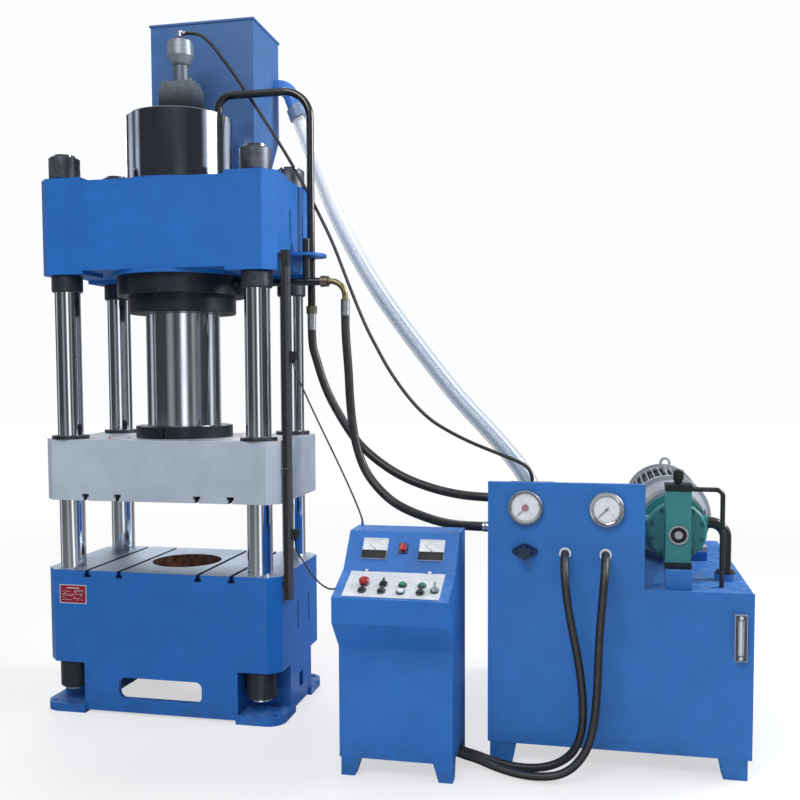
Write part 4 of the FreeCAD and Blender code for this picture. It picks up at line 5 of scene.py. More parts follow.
import bmesh
import bpy
from mathutils import Matrix, Vector
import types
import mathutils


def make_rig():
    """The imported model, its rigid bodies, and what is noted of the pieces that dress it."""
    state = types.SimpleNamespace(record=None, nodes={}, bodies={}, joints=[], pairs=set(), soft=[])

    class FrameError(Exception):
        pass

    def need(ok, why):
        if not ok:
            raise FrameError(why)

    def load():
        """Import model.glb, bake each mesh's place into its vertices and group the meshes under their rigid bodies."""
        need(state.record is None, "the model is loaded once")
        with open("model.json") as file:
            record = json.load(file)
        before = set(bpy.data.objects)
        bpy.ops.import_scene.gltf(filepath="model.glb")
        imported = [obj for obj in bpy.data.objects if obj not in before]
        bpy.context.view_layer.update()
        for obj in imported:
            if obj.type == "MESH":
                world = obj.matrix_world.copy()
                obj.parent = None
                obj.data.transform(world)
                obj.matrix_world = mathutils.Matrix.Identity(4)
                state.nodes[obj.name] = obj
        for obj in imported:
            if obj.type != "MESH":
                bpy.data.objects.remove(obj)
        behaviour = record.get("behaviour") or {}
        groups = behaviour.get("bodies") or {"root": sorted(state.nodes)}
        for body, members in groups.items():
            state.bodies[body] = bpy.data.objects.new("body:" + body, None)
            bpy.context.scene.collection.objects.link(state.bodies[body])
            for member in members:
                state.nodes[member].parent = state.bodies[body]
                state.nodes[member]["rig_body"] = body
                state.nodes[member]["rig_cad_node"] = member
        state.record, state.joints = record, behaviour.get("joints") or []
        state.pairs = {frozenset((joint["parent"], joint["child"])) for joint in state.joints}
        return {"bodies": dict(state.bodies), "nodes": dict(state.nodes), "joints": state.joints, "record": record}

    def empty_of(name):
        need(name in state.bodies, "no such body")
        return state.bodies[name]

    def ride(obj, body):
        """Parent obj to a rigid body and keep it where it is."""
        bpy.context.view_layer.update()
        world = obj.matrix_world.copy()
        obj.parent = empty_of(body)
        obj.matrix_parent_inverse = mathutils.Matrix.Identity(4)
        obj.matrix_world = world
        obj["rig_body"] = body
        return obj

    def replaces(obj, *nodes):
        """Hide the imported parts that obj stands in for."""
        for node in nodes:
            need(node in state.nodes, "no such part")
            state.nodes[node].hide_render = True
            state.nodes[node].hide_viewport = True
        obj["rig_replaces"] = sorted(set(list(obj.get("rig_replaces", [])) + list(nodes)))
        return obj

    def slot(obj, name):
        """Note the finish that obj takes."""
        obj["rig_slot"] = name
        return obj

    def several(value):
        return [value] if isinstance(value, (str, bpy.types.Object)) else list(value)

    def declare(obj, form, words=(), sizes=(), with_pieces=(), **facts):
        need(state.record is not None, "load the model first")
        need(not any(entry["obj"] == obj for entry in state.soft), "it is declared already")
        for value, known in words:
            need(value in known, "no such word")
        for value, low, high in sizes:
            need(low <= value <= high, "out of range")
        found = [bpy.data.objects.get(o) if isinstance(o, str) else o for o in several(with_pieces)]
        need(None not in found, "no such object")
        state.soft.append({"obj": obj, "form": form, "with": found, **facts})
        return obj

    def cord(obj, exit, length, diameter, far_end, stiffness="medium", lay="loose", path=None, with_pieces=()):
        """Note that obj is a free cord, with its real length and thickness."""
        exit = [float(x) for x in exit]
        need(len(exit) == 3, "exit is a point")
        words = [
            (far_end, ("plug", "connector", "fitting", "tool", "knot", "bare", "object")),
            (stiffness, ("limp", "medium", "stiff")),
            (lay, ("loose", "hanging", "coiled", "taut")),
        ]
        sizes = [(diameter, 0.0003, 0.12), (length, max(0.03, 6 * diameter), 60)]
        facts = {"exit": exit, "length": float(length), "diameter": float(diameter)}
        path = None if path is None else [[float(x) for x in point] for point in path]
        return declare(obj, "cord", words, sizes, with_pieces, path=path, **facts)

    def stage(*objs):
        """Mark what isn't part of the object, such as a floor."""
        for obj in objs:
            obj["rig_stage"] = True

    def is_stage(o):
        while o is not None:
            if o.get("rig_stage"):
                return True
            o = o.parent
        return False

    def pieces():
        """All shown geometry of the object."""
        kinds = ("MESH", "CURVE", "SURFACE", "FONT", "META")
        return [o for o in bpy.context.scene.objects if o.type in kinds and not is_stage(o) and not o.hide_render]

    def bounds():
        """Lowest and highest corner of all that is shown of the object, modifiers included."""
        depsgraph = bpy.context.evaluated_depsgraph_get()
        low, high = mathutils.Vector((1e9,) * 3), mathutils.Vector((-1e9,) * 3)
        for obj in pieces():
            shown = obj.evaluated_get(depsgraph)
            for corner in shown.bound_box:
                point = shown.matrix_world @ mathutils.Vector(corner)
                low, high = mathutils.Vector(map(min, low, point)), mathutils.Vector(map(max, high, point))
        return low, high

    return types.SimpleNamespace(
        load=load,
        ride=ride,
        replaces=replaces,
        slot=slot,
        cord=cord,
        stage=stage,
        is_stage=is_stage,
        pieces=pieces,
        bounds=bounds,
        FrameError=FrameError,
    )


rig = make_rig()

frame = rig.load()
nodes = frame["nodes"]
loadedBox = [list(corner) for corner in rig.bounds()]
scene = bpy.context.scene
print("press loaded,", len(nodes), "nodes")


def shown(name, data):
    thing = bpy.data.objects.new(name, data)
    scene.collection.objects.link(thing)
    return thing


def meshOf(name, shape):
    mesh = bpy.data.meshes.new(name)
    shape.to_mesh(mesh)
    shape.free()
    return mesh


# camera, taken from the photograph's edges

eye = {"place": (2.3138, -4.9985, 1.8342), "yaw": 0.210, "pitch": -0.057, "roll": -0.004,
       "lens": 42.6, "sensor": 36, "shiftY": 0.0375, "near": 0.1, "far": 60}


def placeCamera():
    lens = bpy.data.cameras.new("eye")
    lens.lens = eye["lens"]
    lens.sensor_width = eye["sensor"]
    lens.shift_y = eye["shiftY"]
    lens.clip_start = eye["near"]
    lens.clip_end = eye["far"]
    camera = shown("eye", lens)
    turn = Matrix.Rotation(eye["yaw"], 4, "Z") @ Matrix.Rotation(math.pi / 2 + eye["pitch"], 4, "X")
    turn = turn @ Matrix.Rotation(eye["roll"], 4, "Z")
    camera.matrix_world = Matrix.Translation(eye["place"]) @ turn
    scene.camera = camera


placeCamera()
print("camera placed")


# cords: the same control points as the hoses and cables of the model, in metres

cordPoints = {
    "pilot_cable": [(0.034, 0.024, 3.743), (0.105, 0.024, 3.743), (0.172, 0.038, 3.688),
                    (0.228, 0.056, 3.612), (0.300, 0.082, 3.510), (0.396, 0.110, 3.361),
                    (0.532, 0.118, 3.151), (0.657, 0.126, 2.940), (0.755, 0.122, 2.759),
                    (0.856, 0.088, 2.569), (0.950, 0.051, 2.344), (1.054, 0.012, 2.111),
                    (1.128, -0.015, 1.982), (1.204, -0.043, 1.856), (1.322, -0.086, 1.707),
                    (1.436, -0.128, 1.604), (1.549, -0.170, 1.544), (1.658, -0.210, 1.496),
                    (1.776, -0.253, 1.455), (1.870, -0.290, 1.424), (1.952, -0.319, 1.394),
                    (1.985, -0.330, 1.346), (1.985, -0.330, 1.290)],
    "return_hose": [(0.4724, 0.690, 3.4246), (0.5134, 0.690, 3.3118), (0.555, 0.680, 3.214),
                    (0.640, 0.625, 3.020), (0.735, 0.572, 2.807), (0.895, 0.506, 2.524),
                    (1.063, 0.436, 2.279), (1.200, 0.380, 2.105), (1.358, 0.313, 1.913),
                    (1.541, 0.236, 1.699), (1.763, 0.143, 1.484), (1.890, 0.090, 1.344),
                    (1.975, 0.055, 1.205), (2.020, 0.040, 1.065), (2.020, 0.040, 0.960)],
    "pressure_hose_upper": [(0.738, 0.060, 2.092), (0.738, 0.060, 2.007), (0.766, 0.056, 1.925),
                            (0.797, 0.048, 1.825), (0.846, 0.037, 1.714), (0.924, 0.021, 1.588),
                            (1.007, 0.003, 1.475), (1.113, -0.019, 1.385), (1.258, -0.050, 1.298),
                            (1.428, -0.085, 1.241), (1.593, -0.130, 1.213), (1.740, -0.170, 1.209),
                            (1.829, -0.170, 1.209)],
    "pressure_hose_lower": [(0.963, -0.060, 2.159), (0.963, -0.060, 2.109), (0.967, -0.062, 2.029),
                            (0.981, -0.066, 1.868), (0.989, -0.072, 1.706), (1.007, -0.079, 1.545),
                            (1.037, -0.092, 1.428), (1.086, -0.113, 1.318), (1.183, -0.154, 1.217),
                            (1.289, -0.200, 1.152), (1.461, -0.285, 1.106), (1.588, -0.364, 1.094),
                            (1.690, -0.412, 1.097), (1.765, -0.430, 1.099), (1.829, -0.430, 1.099)],
    "conduit_left": [(2.154, -0.602, 1.012), (2.154, -0.652, 1.012), (2.155, -0.700, 0.992),
                     (2.157, -0.736, 0.956), (2.161, -0.756, 0.905), (2.172, -0.755, 0.812),
                     (2.196, -0.748, 0.680), (2.226, -0.742, 0.530), (2.243, -0.735, 0.370),
                     (2.241, -0.728, 0.230), (2.206, -0.722, 0.128), (2.134, -0.716, 0.064),
                     (2.037, -0.711, 0.032), (1.925, -0.690, 0.024), (1.835, -0.662, 0.030),
                     (1.755, -0.628, 0.040), (1.682, -0.605, 0.046), (1.603, -0.605, 0.079),
                     (1.543, -0.605, 0.139), (1.510, -0.605, 0.218), (1.510, -0.605, 0.340)],
    "conduit_right": [(2.337, -0.602, 1.012), (2.337, -0.652, 1.012), (2.336, -0.700, 0.992),
                      (2.334, -0.736, 0.956), (2.330, -0.756, 0.905), (2.323, -0.757, 0.812),
                      (2.314, -0.752, 0.700), (2.309, -0.748, 0.570), (2.305, -0.749, 0.430),
                      (2.296, -0.753, 0.297), (2.272, -0.762, 0.178), (2.220, -0.775, 0.092),
                      (2.150, -0.785, 0.042), (2.060, -0.788, 0.026), (1.960, -0.774, 0.024),
                      (1.850, -0.735, 0.032), (1.760, -0.682, 0.042), (1.682, -0.655, 0.046),
                      (1.603, -0.655, 0.079), (1.543, -0.655, 0.139), (1.510, -0.655, 0.218),
                      (1.510, -0.655, 0.340)],
    "switch_cable_upper": [(0.741, -0.276, 1.9027), (0.741, -0.276, 1.8627), (1.167, -0.512, 1.163),
                           (1.167, -0.512, 1.118)],
    "switch_cable_lower": [(0.741, -0.276, 0.9687), (0.741, -0.276, 0.9287), (0.785, -0.285, 0.865),
                           (0.855, -0.320, 0.785), (0.935, -0.370, 0.745), (1.010, -0.450, 0.760),
                           (1.070, -0.548, 0.821), (1.127, -0.548, 0.821)],
}

cordKinds = {
    "pilot_cable": {"node": "pilot_cable", "across": 0.018, "length": 3.334,
                    "stiffness": "medium", "lay": "hanging"},
    "return_hose": {"node": "return_hose", "across": 0.094, "length": 3.034,
                    "stiffness": "stiff", "lay": "hanging"},
    "pressure_hose_upper": {"node": "pressure_hose_upper", "across": 0.046, "length": 1.594,
                            "stiffness": "stiff", "lay": "hanging"},
    "pressure_hose_lower": {"node": "pressure_hose_lower", "across": 0.046, "length": 1.734,
                            "stiffness": "stiff", "lay": "hanging"},
    "conduit_left": {"node": "conduits", "across": 0.038, "length": 1.934,
                     "stiffness": "medium", "lay": "loose"},
    "conduit_right": {"node": "conduits", "across": 0.038, "length": 1.988,
                      "stiffness": "medium", "lay": "loose"},
    "switch_cable_upper": {"node": "switch_cables", "across": 0.009, "length": 0.926,
                           "stiffness": "medium", "lay": "taut"},
    "switch_cable_lower": {"node": "switch_cables", "across": 0.009, "length": 0.610,
                           "stiffness": "medium", "lay": "hanging"},
}


routeLook = {"order": 3, "steps": 12, "roundness": 8}


def makeRoute(name):
    route = cordPoints[name]
    line = bpy.data.curves.new(name, "CURVE")
    line.dimensions = "3D"
    spline = line.splines.new("NURBS")
    spline.points.add(len(route) - 1)
    for point, place in zip(spline.points, route):
        point.co = (*place, 1)
    spline.order_u = routeLook["order"]
    spline.use_endpoint_u = True
    spline.resolution_u = routeLook["steps"]
    return shown("cord_" + name, line)


def evaluated(thing):  # the mesh that a curve or a line of words comes out as
    bpy.context.view_layer.update()
    seen = thing.evaluated_get(bpy.context.evaluated_depsgraph_get())
    return bpy.data.meshes.new_from_object(seen)


def placesOn(cord):
    mesh = evaluated(cord)
    places = [corner.co.copy() for corner in mesh.vertices]
    bpy.data.meshes.remove(mesh)
    return places


def evenly(places, pitch):
    spaced, left = [places[0]], pitch
    for start, end in zip(places, places[1:]):
        span = (end - start).length
        while left <= span:
            spaced.append(start.lerp(end, left / span))
            left += pitch
        left -= span
    return spaced + [places[-1]]


def ringFrames(places):
    frames, side = [], Vector((0, 0, 1))
    for index, place in enumerate(places):
        ahead = (places[min(index + 1, len(places) - 1)] - places[max(index - 1, 0)]).normalized()
        if not index and abs(ahead.z) > 0.9:
            side = Vector((0, -1, 0))
        side = (side - ahead * side.dot(ahead)).normalized()
        turned = Matrix((side, ahead.cross(side), ahead)).transposed().to_4x4()
        frames.append(Matrix.Translation(place) @ turned)
    return frames


def addTube(shape, places, radii, sides, toward=0.0):
    # the layer "stripe" holds the cosine of the turn away from one side of the tube
    layer = shape.verts.layers.float.get("stripe") or shape.verts.layers.float.new("stripe")
    poses = ringFrames(places)
    grown = [pose @ Matrix.Diagonal((radius, radius, 1, 1)) for pose, radius in zip(poses, radii)]
    ring = bmesh.ops.create_circle(shape, cap_ends=False, segments=sides, radius=1,
                                   matrix=grown[0])["verts"]
    edges = list({edge for corner in ring for edge in corner.link_edges})
    first, walls = list(edges), []
    for index, pose in enumerate(poses):
        if index:
            out = bmesh.ops.extrude_edge_only(shape, edges=edges)["geom"]
            ring = [part for part in out if isinstance(part, bmesh.types.BMVert)]
            walls += [part for part in out if isinstance(part, bmesh.types.BMFace)]
            fresh = set(ring)
            edges = [part for part in out if isinstance(part, bmesh.types.BMEdge)
                     and part.verts[0] in fresh and part.verts[1] in fresh]
            bmesh.ops.transform(shape, matrix=grown[index] @ grown[index - 1].inverted(), verts=ring)
        back = pose.inverted()
        for corner in ring:
            local = back @ corner.co
            corner[layer] = math.cos(math.atan2(local.y, local.x) - toward)
    for rim in (first, edges):
        walls += bmesh.ops.holes_fill(shape, edges=rim, sides=0)["faces"]
    bmesh.ops.recalc_face_normals(shape, faces=walls)
    return walls


# the last value turns the stripe layer to the side where the hose's painted highlights lie
clearHose = {"pitch": 0.02, "radius": 0.047, "sides": 40, "coreRadius": 0.0335, "coreSides": 32,
             "highlightTurn": 0.5}


def addClearHose(shape, places):
    hose, spaced = clearHose, evenly(places, clearHose["pitch"])
    core = spaced[1:-1]
    addTube(shape, spaced, [hose["radius"]] * len(spaced), hose["sides"], hose["highlightTurn"])
    for face in addTube(shape, core, [hose["coreRadius"]] * len(core), hose["coreSides"],
                        hose["highlightTurn"]):
        face.material_index = 1


ribbedTube = {"pitch": 0.0028, "ridge": 0.019, "groove": 0.0175, "sides": 20}


def addRibbedTube(shape, places):
    spaced = evenly(places, ribbedTube["pitch"])
    radii = [ribbedTube["ridge" if index % 3 else "groove"] for index in range(len(spaced))]
    addTube(shape, spaced, radii, ribbedTube["sides"])


tubeKinds = {"return_hose": addClearHose, "conduit_left": addRibbedTube,
             "conduit_right": addRibbedTube}


def makeCord(name):
    kind = cordKinds[name]
    cord, path = makeRoute(name), None
    if name in tubeKinds:
        path = placesOn(cord)
        bpy.data.objects.remove(cord)
        shape = bmesh.new()
        tubeKinds[name](shape, path)
        mesh = meshOf(name, shape)
        mesh.shade_smooth()
        cord = shown("cord_" + name, mesh)
    else:
        cord.data.bevel_depth = kind["across"] / 2
        cord.data.bevel_resolution = routeLook["roundness"]
        cord.data.use_fill_caps = True
    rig.ride(cord, "frame")
    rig.replaces(cord, kind["node"])
    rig.cord(cord, exit=cordPoints[name][0], length=kind["length"], diameter=kind["across"],
            far_end="object", stiffness=kind["stiffness"], lay=kind["lay"], path=path)
    return cord


cords = {name: makeCord(name) for name in cordPoints}
print("cords made,", len(cords))


# finishes: a socket with sums, and one maker of nodes for every material

class Wire:
    def __init__(self, finish, socket):
        self.finish = finish
        self.socket = socket

    def sum(self, operation, first, second=0.0):
        return self.finish.node("ShaderNodeMath", {"operation": operation}, {0: first, 1: second})

    def __add__(self, other):
        return self.sum("ADD", self, other)

    def __radd__(self, other):
        return self.sum("ADD", other, self)

    def __sub__(self, other):
        return self.sum("SUBTRACT", self, other)

    def __rsub__(self, other):
        return self.sum("SUBTRACT", other, self)

    def __mul__(self, other):
        return self.sum("MULTIPLY", self, other)

    def __rmul__(self, other):
        return self.sum("MULTIPLY", other, self)

    def __gt__(self, other):
        return self.sum("GREATER_THAN", self, other)

    def __lt__(self, other):
        return self.sum("LESS_THAN", self, other)

    def __abs__(self):
        return self.sum("ABSOLUTE", self)

    def __pow__(self, other):
        return self.sum("POWER", self, other)

    def least(self, other):
        return self.sum("MINIMUM", self, other)

    def most(self, other):
        return self.sum("MAXIMUM", self, other)

    def wrapped(self, pitch):
        return self.sum("PINGPONG", self, pitch)

    def rise(self, low, high):  # 0 below low, 1 above high, smooth between
        return self.finish.node("ShaderNodeMapRange", {"interpolation_type": "SMOOTHSTEP"},
                                {"Value": self, "From Min": low, "From Max": high})

    def fall(self, low, high):
        return 1 - self.rise(low, high)

    def near(self, level, width):  # 1 at the level, 0 a width away from it
        return abs(self - level).fall(width * 0.6, width)


class Net:
    def __init__(self, tree):
        self.tree = tree
        self.kept = {}

    def node(self, kind, settings=None, sockets=None, out=0):
        fresh = self.tree.nodes.new(kind)
        for name, value in (settings or {}).items():
            setattr(fresh, name, value)
        for name, value in (sockets or {}).items():
            self.join(value, fresh.inputs[name])
        return Wire(self, fresh.outputs[out])

    def join(self, value, socket):
        if isinstance(value, Wire):
            self.tree.links.new(value.socket, socket)
        else:
            socket.default_value = value

    def keep(self, name, make):
        if name not in self.kept:
            self.kept[name] = make()
        return self.kept[name]

    def parts(self, vector):
        split = self.node("ShaderNodeSeparateXYZ", None, {0: vector})
        return [Wire(self, socket) for socket in split.socket.node.outputs]


class Finish(Net):
    def __init__(self, name, fixed=None):
        self.material = bpy.data.materials.new(name)
        self.material.use_nodes = True
        super().__init__(self.material.node_tree)
        self.shader = self.tree.nodes["Principled BSDF"]
        for socket, value in (fixed or {}).items():
            self.shader.inputs[socket].default_value = value

    def place(self):
        return self.keep("place", lambda: self.node("ShaderNodeTexCoord", out="Object"))

    def axes(self):
        return self.keep("axes", lambda: self.parts(self.place()))

    def facing(self):
        return self.keep("facing", lambda: self.parts(
            self.node("ShaderNodeTexCoord", out="Normal")))

    def across(self, x=0.0, y=0.0):  # distance from an upright axis
        right, back = self.axes()[:2]
        return self.distance(right - x, back - y)

    def distance(self, first, second):
        return (first * first + second * second) ** 0.5

    def noise(self, scale, detail=2.0, stretch=(1, 1, 1)):
        spread = self.node("ShaderNodeMapping", {"vector_type": "POINT"},
                           {"Vector": self.place(), "Scale": stretch})
        return self.node("ShaderNodeTexNoise", None,
                         {"Vector": spread, "Scale": scale, "Detail": detail})

    def mix(self, under, over, mask):
        return self.node("ShaderNodeMix", {"data_type": "RGBA"}, {0: mask, 6: under, 7: over}, 2)

    def blend(self, under, over, mask):
        return under + (over - under) * mask

    def surface(self, color, rough, metal=None, height=None, coat=None, alpha=None):
        for name, value in (("Base Color", color), ("Roughness", rough), ("Metallic", metal),
                            ("Coat Weight", coat), ("Alpha", alpha)):
            if value is not None:
                self.join(value, self.shader.inputs[name])
        if height is not None:
            self.join(self.node("ShaderNodeBump", None, {"Height": height, "Distance": 1.0}),
                      self.shader.inputs["Normal"])
        return self.material


def tone(red, green, blue):  # screen values, 0 to 255, as the colour a shader takes
    linear = [part / 255 / 12.92 if part <= 10 else ((part / 255 + 0.055) / 1.055) ** 2.4
              for part in (red, green, blue)]
    return (*linear, 1)


def shade(color, level):
    return (*[min(1, part * level) for part in color[:3]], 1)


# paints and metals; each skin gives colour, roughness, metal and height to mix under masks

pressBlue = tone(30, 100, 178)
unitBlue = tone(44, 110, 186)
slideGrey = tone(166, 177, 191)
pumpGreen = tone(50, 124, 128)
paintFixed = {"Coat Roughness": 0.16, "Specular IOR Level": 0.3}


class Skin:
    def __init__(self, color, rough, metal=0.0, height=0.0):
        self.color, self.rough, self.metal, self.height = color, rough, metal, height

    def tint(self, finish, color, mask):
        self.color = finish.mix(self.color, color, mask)


def overlay(finish, under, over, mask):
    return Skin(finish.mix(under.color, over.color, mask),
                finish.blend(under.rough, over.rough, mask),
                finish.blend(under.metal, over.metal, mask),
                finish.blend(under.height, over.height, mask))


def made(finish, skin, coat=None, alpha=None):
    return finish.surface(skin.color, skin.rough, skin.metal, skin.height, coat, alpha)


def paintSkin(finish, base, gloss=0.38, dust=0.3, peel=1.0):
    up = finish.axes()[2]
    clouds = finish.noise(1.4, 3)
    blotches = finish.noise(9, 4)
    color = finish.mix(shade(base, 0.88), shade(base, 1.1),
                       (clouds * 0.6 + blotches * 0.4).rise(0.3, 0.7))
    settled = finish.facing()[2].rise(0.7, 0.97) * finish.noise(31, 5).rise(0.35, 0.75) * dust
    low = up.fall(0.02, 0.22) * finish.noise(17, 5).rise(0.4, 0.7) * 0.35
    color = finish.mix(color, tone(150, 168, 196), settled)
    color = finish.mix(color, tone(58, 72, 96), low)
    scuffs = finish.noise(55, 2, (1, 1, 0.16)).rise(0.72, 0.8) * finish.noise(3.1).rise(0.5, 0.62)
    color = finish.mix(color, shade(base, 1.55), scuffs * 0.3)
    rough = gloss + blotches * 0.1 + settled * 0.4 + low * 0.3 + scuffs * 0.15
    height = finish.noise(330, 1) * (0.00005 * peel) + finish.noise(4.5, 2) * (0.00045 * peel)
    return Skin(color, rough, 0.0, height)


def steelSkin(finish, base, rough=0.25, lay=(1, 1, 1), marks=0.4, metal=1.0):
    brushed = finish.noise(60, 3, lay)
    stains = finish.noise(6, 4)
    color = finish.mix(shade(base, 1 - marks * 0.5), shade(base, 1 + marks * 0.35),
                       brushed.rise(0.3, 0.7))
    color = finish.mix(color, shade(base, 0.62), stains.rise(0.56, 0.75) * 0.35)
    return Skin(color, rough + brushed * 0.12 + stains * 0.1, metal, brushed * 0.00003)


def rustSkin(finish):
    spots = finish.noise(34, 6)
    color = finish.mix(tone(92, 64, 54), tone(146, 108, 88), spots.rise(0.3, 0.7))
    color = finish.mix(color, tone(64, 52, 54), finish.noise(9, 3).rise(0.5, 0.7) * 0.6)
    return Skin(color, 0.55 + spots * 0.2, 0.1, spots * 0.0002)


def blackSkin(finish, base, rough, metal):
    fine = finish.noise(140, 3)
    wear = finish.noise(21, 5).rise(0.6, 0.76)
    color = finish.mix(base, shade(base, 2.4), fine.rise(0.4, 0.75) * 0.5)
    color = finish.mix(color, tone(92, 94, 98), wear * 0.35)
    return Skin(color, rough + fine * 0.14 - wear * 0.06, metal, fine * 0.00004)


def mouldedSkin(finish, base):
    fine = finish.noise(600, 2)
    color = finish.mix(shade(base, 0.94), shade(base, 1.05), fine)
    return Skin(color, 0.3 + fine * 0.1, 0.0, fine * 0.00004)


# finishes that are the same all over a piece

def plainPaint(name, base, gloss=0.38, dust=0.3, peel=1.0):
    finish = Finish(name, paintFixed)
    return made(finish, paintSkin(finish, base, gloss, dust, peel), 0.1)


def chromeFinish(name, base, rough, oil=0.0):
    finish = Finish(name)
    rings = finish.noise(70, 3, (0.05, 0.05, 8))
    smear = finish.noise(5, 4, (1, 1, 0.35)).rise(0.5, 0.75)
    color = finish.mix(shade(base, 0.93), base, rings.rise(0.3, 0.7))
    color = finish.mix(color, shade(base, 0.7), smear * (0.25 + oil))
    rough = rough + rings * 0.05 + smear * (0.06 + oil * 0.2)
    return made(finish, Skin(color, rough, 1.0, rings * 0.000004))


def cylinderFinish():
    finish = Finish("cylinder_blackened", {"Coat Roughness": 0.1})
    rings = finish.noise(50, 3, (0.05, 0.05, 9))
    smear = finish.noise(7, 4, (1, 1, 0.4)).rise(0.5, 0.7)
    color = finish.mix(tone(172, 184, 206), tone(186, 196, 214), rings.rise(0.3, 0.7))
    color = finish.mix(color, tone(120, 126, 138), smear * 0.5)
    top = finish.facing()[2].rise(0.6, 0.9)
    color = finish.mix(color, tone(40, 43, 50), top)
    rough = 0.08 + rings * 0.02 + smear * 0.04 + top * 0.3
    return made(finish, Skin(color, rough, 1.0, rings * 0.000006), 0.1)


def blackFinish(name, base, rough, metal, coat):
    finish = Finish(name, {"Coat Roughness": 0.2})
    return made(finish, blackSkin(finish, base, rough, metal), coat)


def steelFinish(name, base, rough, lay=(1, 1, 1), marks=0.4, metal=1.0):
    finish = Finish(name)
    return made(finish, steelSkin(finish, base, rough, lay, marks, metal))


def mouldedFinish(name, base, rough=0.35, grain=0.00006, coat=0.2, alpha=None):
    finish = Finish(name, {"Coat Roughness": 0.12})
    fine = finish.noise(600, 2)
    worn = finish.noise(80, 4).rise(0.55, 0.75)
    color = finish.mix(shade(base, 0.9), shade(base, 1.12), fine.rise(0.3, 0.7))
    color = finish.mix(color, shade(base, 1.5), worn * 0.15)
    return made(finish, Skin(color, rough + fine * 0.1 + worn * 0.08, 0.0, fine * grain), coat, alpha)


def rubberFinish():
    finish = Finish("hose_rubber", {"Coat Roughness": 0.3})
    base = tone(26, 27, 30)
    fine = finish.noise(260, 3)
    dusty = finish.noise(12, 4).rise(0.5, 0.75)
    color = finish.mix(base, shade(base, 1.7), fine.rise(0.35, 0.7) * 0.6)
    color = finish.mix(color, tone(96, 98, 102), dusty * 0.12)
    return made(finish, Skin(color, 0.42 + fine * 0.12 + dusty * 0.1, 0.0, fine * 0.00008), 0.15)


def deckFinish():
    finish = Finish("deck_plate", {"Coat Roughness": 0.2})
    brushed = finish.noise(90, 3, (0.12, 3, 3))
    spots = finish.noise(5, 3).rise(0.4, 0.7)
    color = finish.mix(tone(202, 209, 219), tone(236, 240, 245), brushed.rise(0.3, 0.7))
    color = finish.mix(color, tone(247, 249, 252), spots * 0.5)
    return made(finish, Skin(color, 0.38 + brushed * 0.12, 0.35, brushed * 0.00002), 0.1)


# finishes that change from place to place on one piece, each below its places in metres

skim = 0.0006  # a mask takes in what lies this near to a face
tee = {"inner": 0.228, "outer": 0.417, "half": 0.021, "deep": 0.045}


def slotMask(finish):
    edge = abs(finish.axes()[0])
    return (edge.near(tee["inner"], tee["half"]) + edge.near(tee["outer"], tee["half"])).least(1.0)


bedSizes = {"top": 0.785, "halfDepth": 0.370, "bore": 0.194, "boreReach": 0.004,
            "boreLow": 0.2, "rim": 0.002}


def bedFinish():
    finish = Finish("bed_paint_and_table", paintFixed)
    back, up = finish.axes()[1:]
    top = bedSizes["top"]
    skin = paintSkin(finish, pressBlue)
    table = steelSkin(finish, tone(150, 164, 184), 0.3, (0.25, 9, 9), 0.5, 0.6)
    # lighter patches on the table are painted highlight, and the steel is also rougher there, as with haze
    hazeAndHighlight = finish.noise(2.2, 3).rise(0.4, 0.68)
    table.tint(finish, tone(196, 207, 222), hazeAndHighlight * 0.6)
    table.rough = table.rough + hazeAndHighlight * 0.16
    inside = abs(back) < bedSizes["halfDepth"] - skim
    # painted shade: the T-slots are darker inside than the table
    shadedSlots = slotMask(finish) * (up > top - tee["deep"]) * inside
    skin = overlay(finish, skin, Skin(tone(58, 72, 102), 0.4, 0.5), shadedSlots)
    skin = overlay(finish, skin, table, (up > top - skim) * finish.facing()[2].rise(0.5, 0.9))
    bore = finish.across() < bedSizes["bore"] + bedSizes["boreReach"]
    bore = bore * (up > bedSizes["boreLow"])
    skin = overlay(finish, skin, rustSkin(finish), bore * (up < top - bedSizes["rim"]))
    return made(finish, skin, (1 - (up > top - skim)) * 0.1)


crownSizes = {"side": 0.671, "slotDeep": 0.021, "skin": 0.0008, "slotHalf": 0.2, "slotUp": 2.65,
              "slotTall": 0.1}


def crownFinish():
    finish = Finish("crown_paint", paintFixed)
    right, back, up = finish.axes()
    skin = paintSkin(finish, pressBlue)
    # painted shade: the side slots take the blue paint darkened inside
    shadedSlots = abs(right) > crownSizes["side"] - crownSizes["slotDeep"]
    shadedSlots = shadedSlots * (abs(right) < crownSizes["side"] - crownSizes["skin"])
    shadedSlots = shadedSlots * (abs(back) < crownSizes["slotHalf"])
    shadedSlots = shadedSlots * up.near(crownSizes["slotUp"], crownSizes["slotTall"])
    skin.tint(finish, shade(pressBlue, 0.3), shadedSlots)
    return made(finish, skin, 0.1)


slideSizes = {"bottom": 1.167, "top": 1.497, "halfDepth": 0.367, "columnX": 0.547,
              "columnY": 0.281, "ring": 0.325, "ringHalf": 0.014, "outerRing": 0.425,
              "cornerRing": 0.132, "lineHalf": 0.01, "borderX": 0.6, "borderY": 0.33,
              "borderHalf": 0.008, "ragged": 0.02}


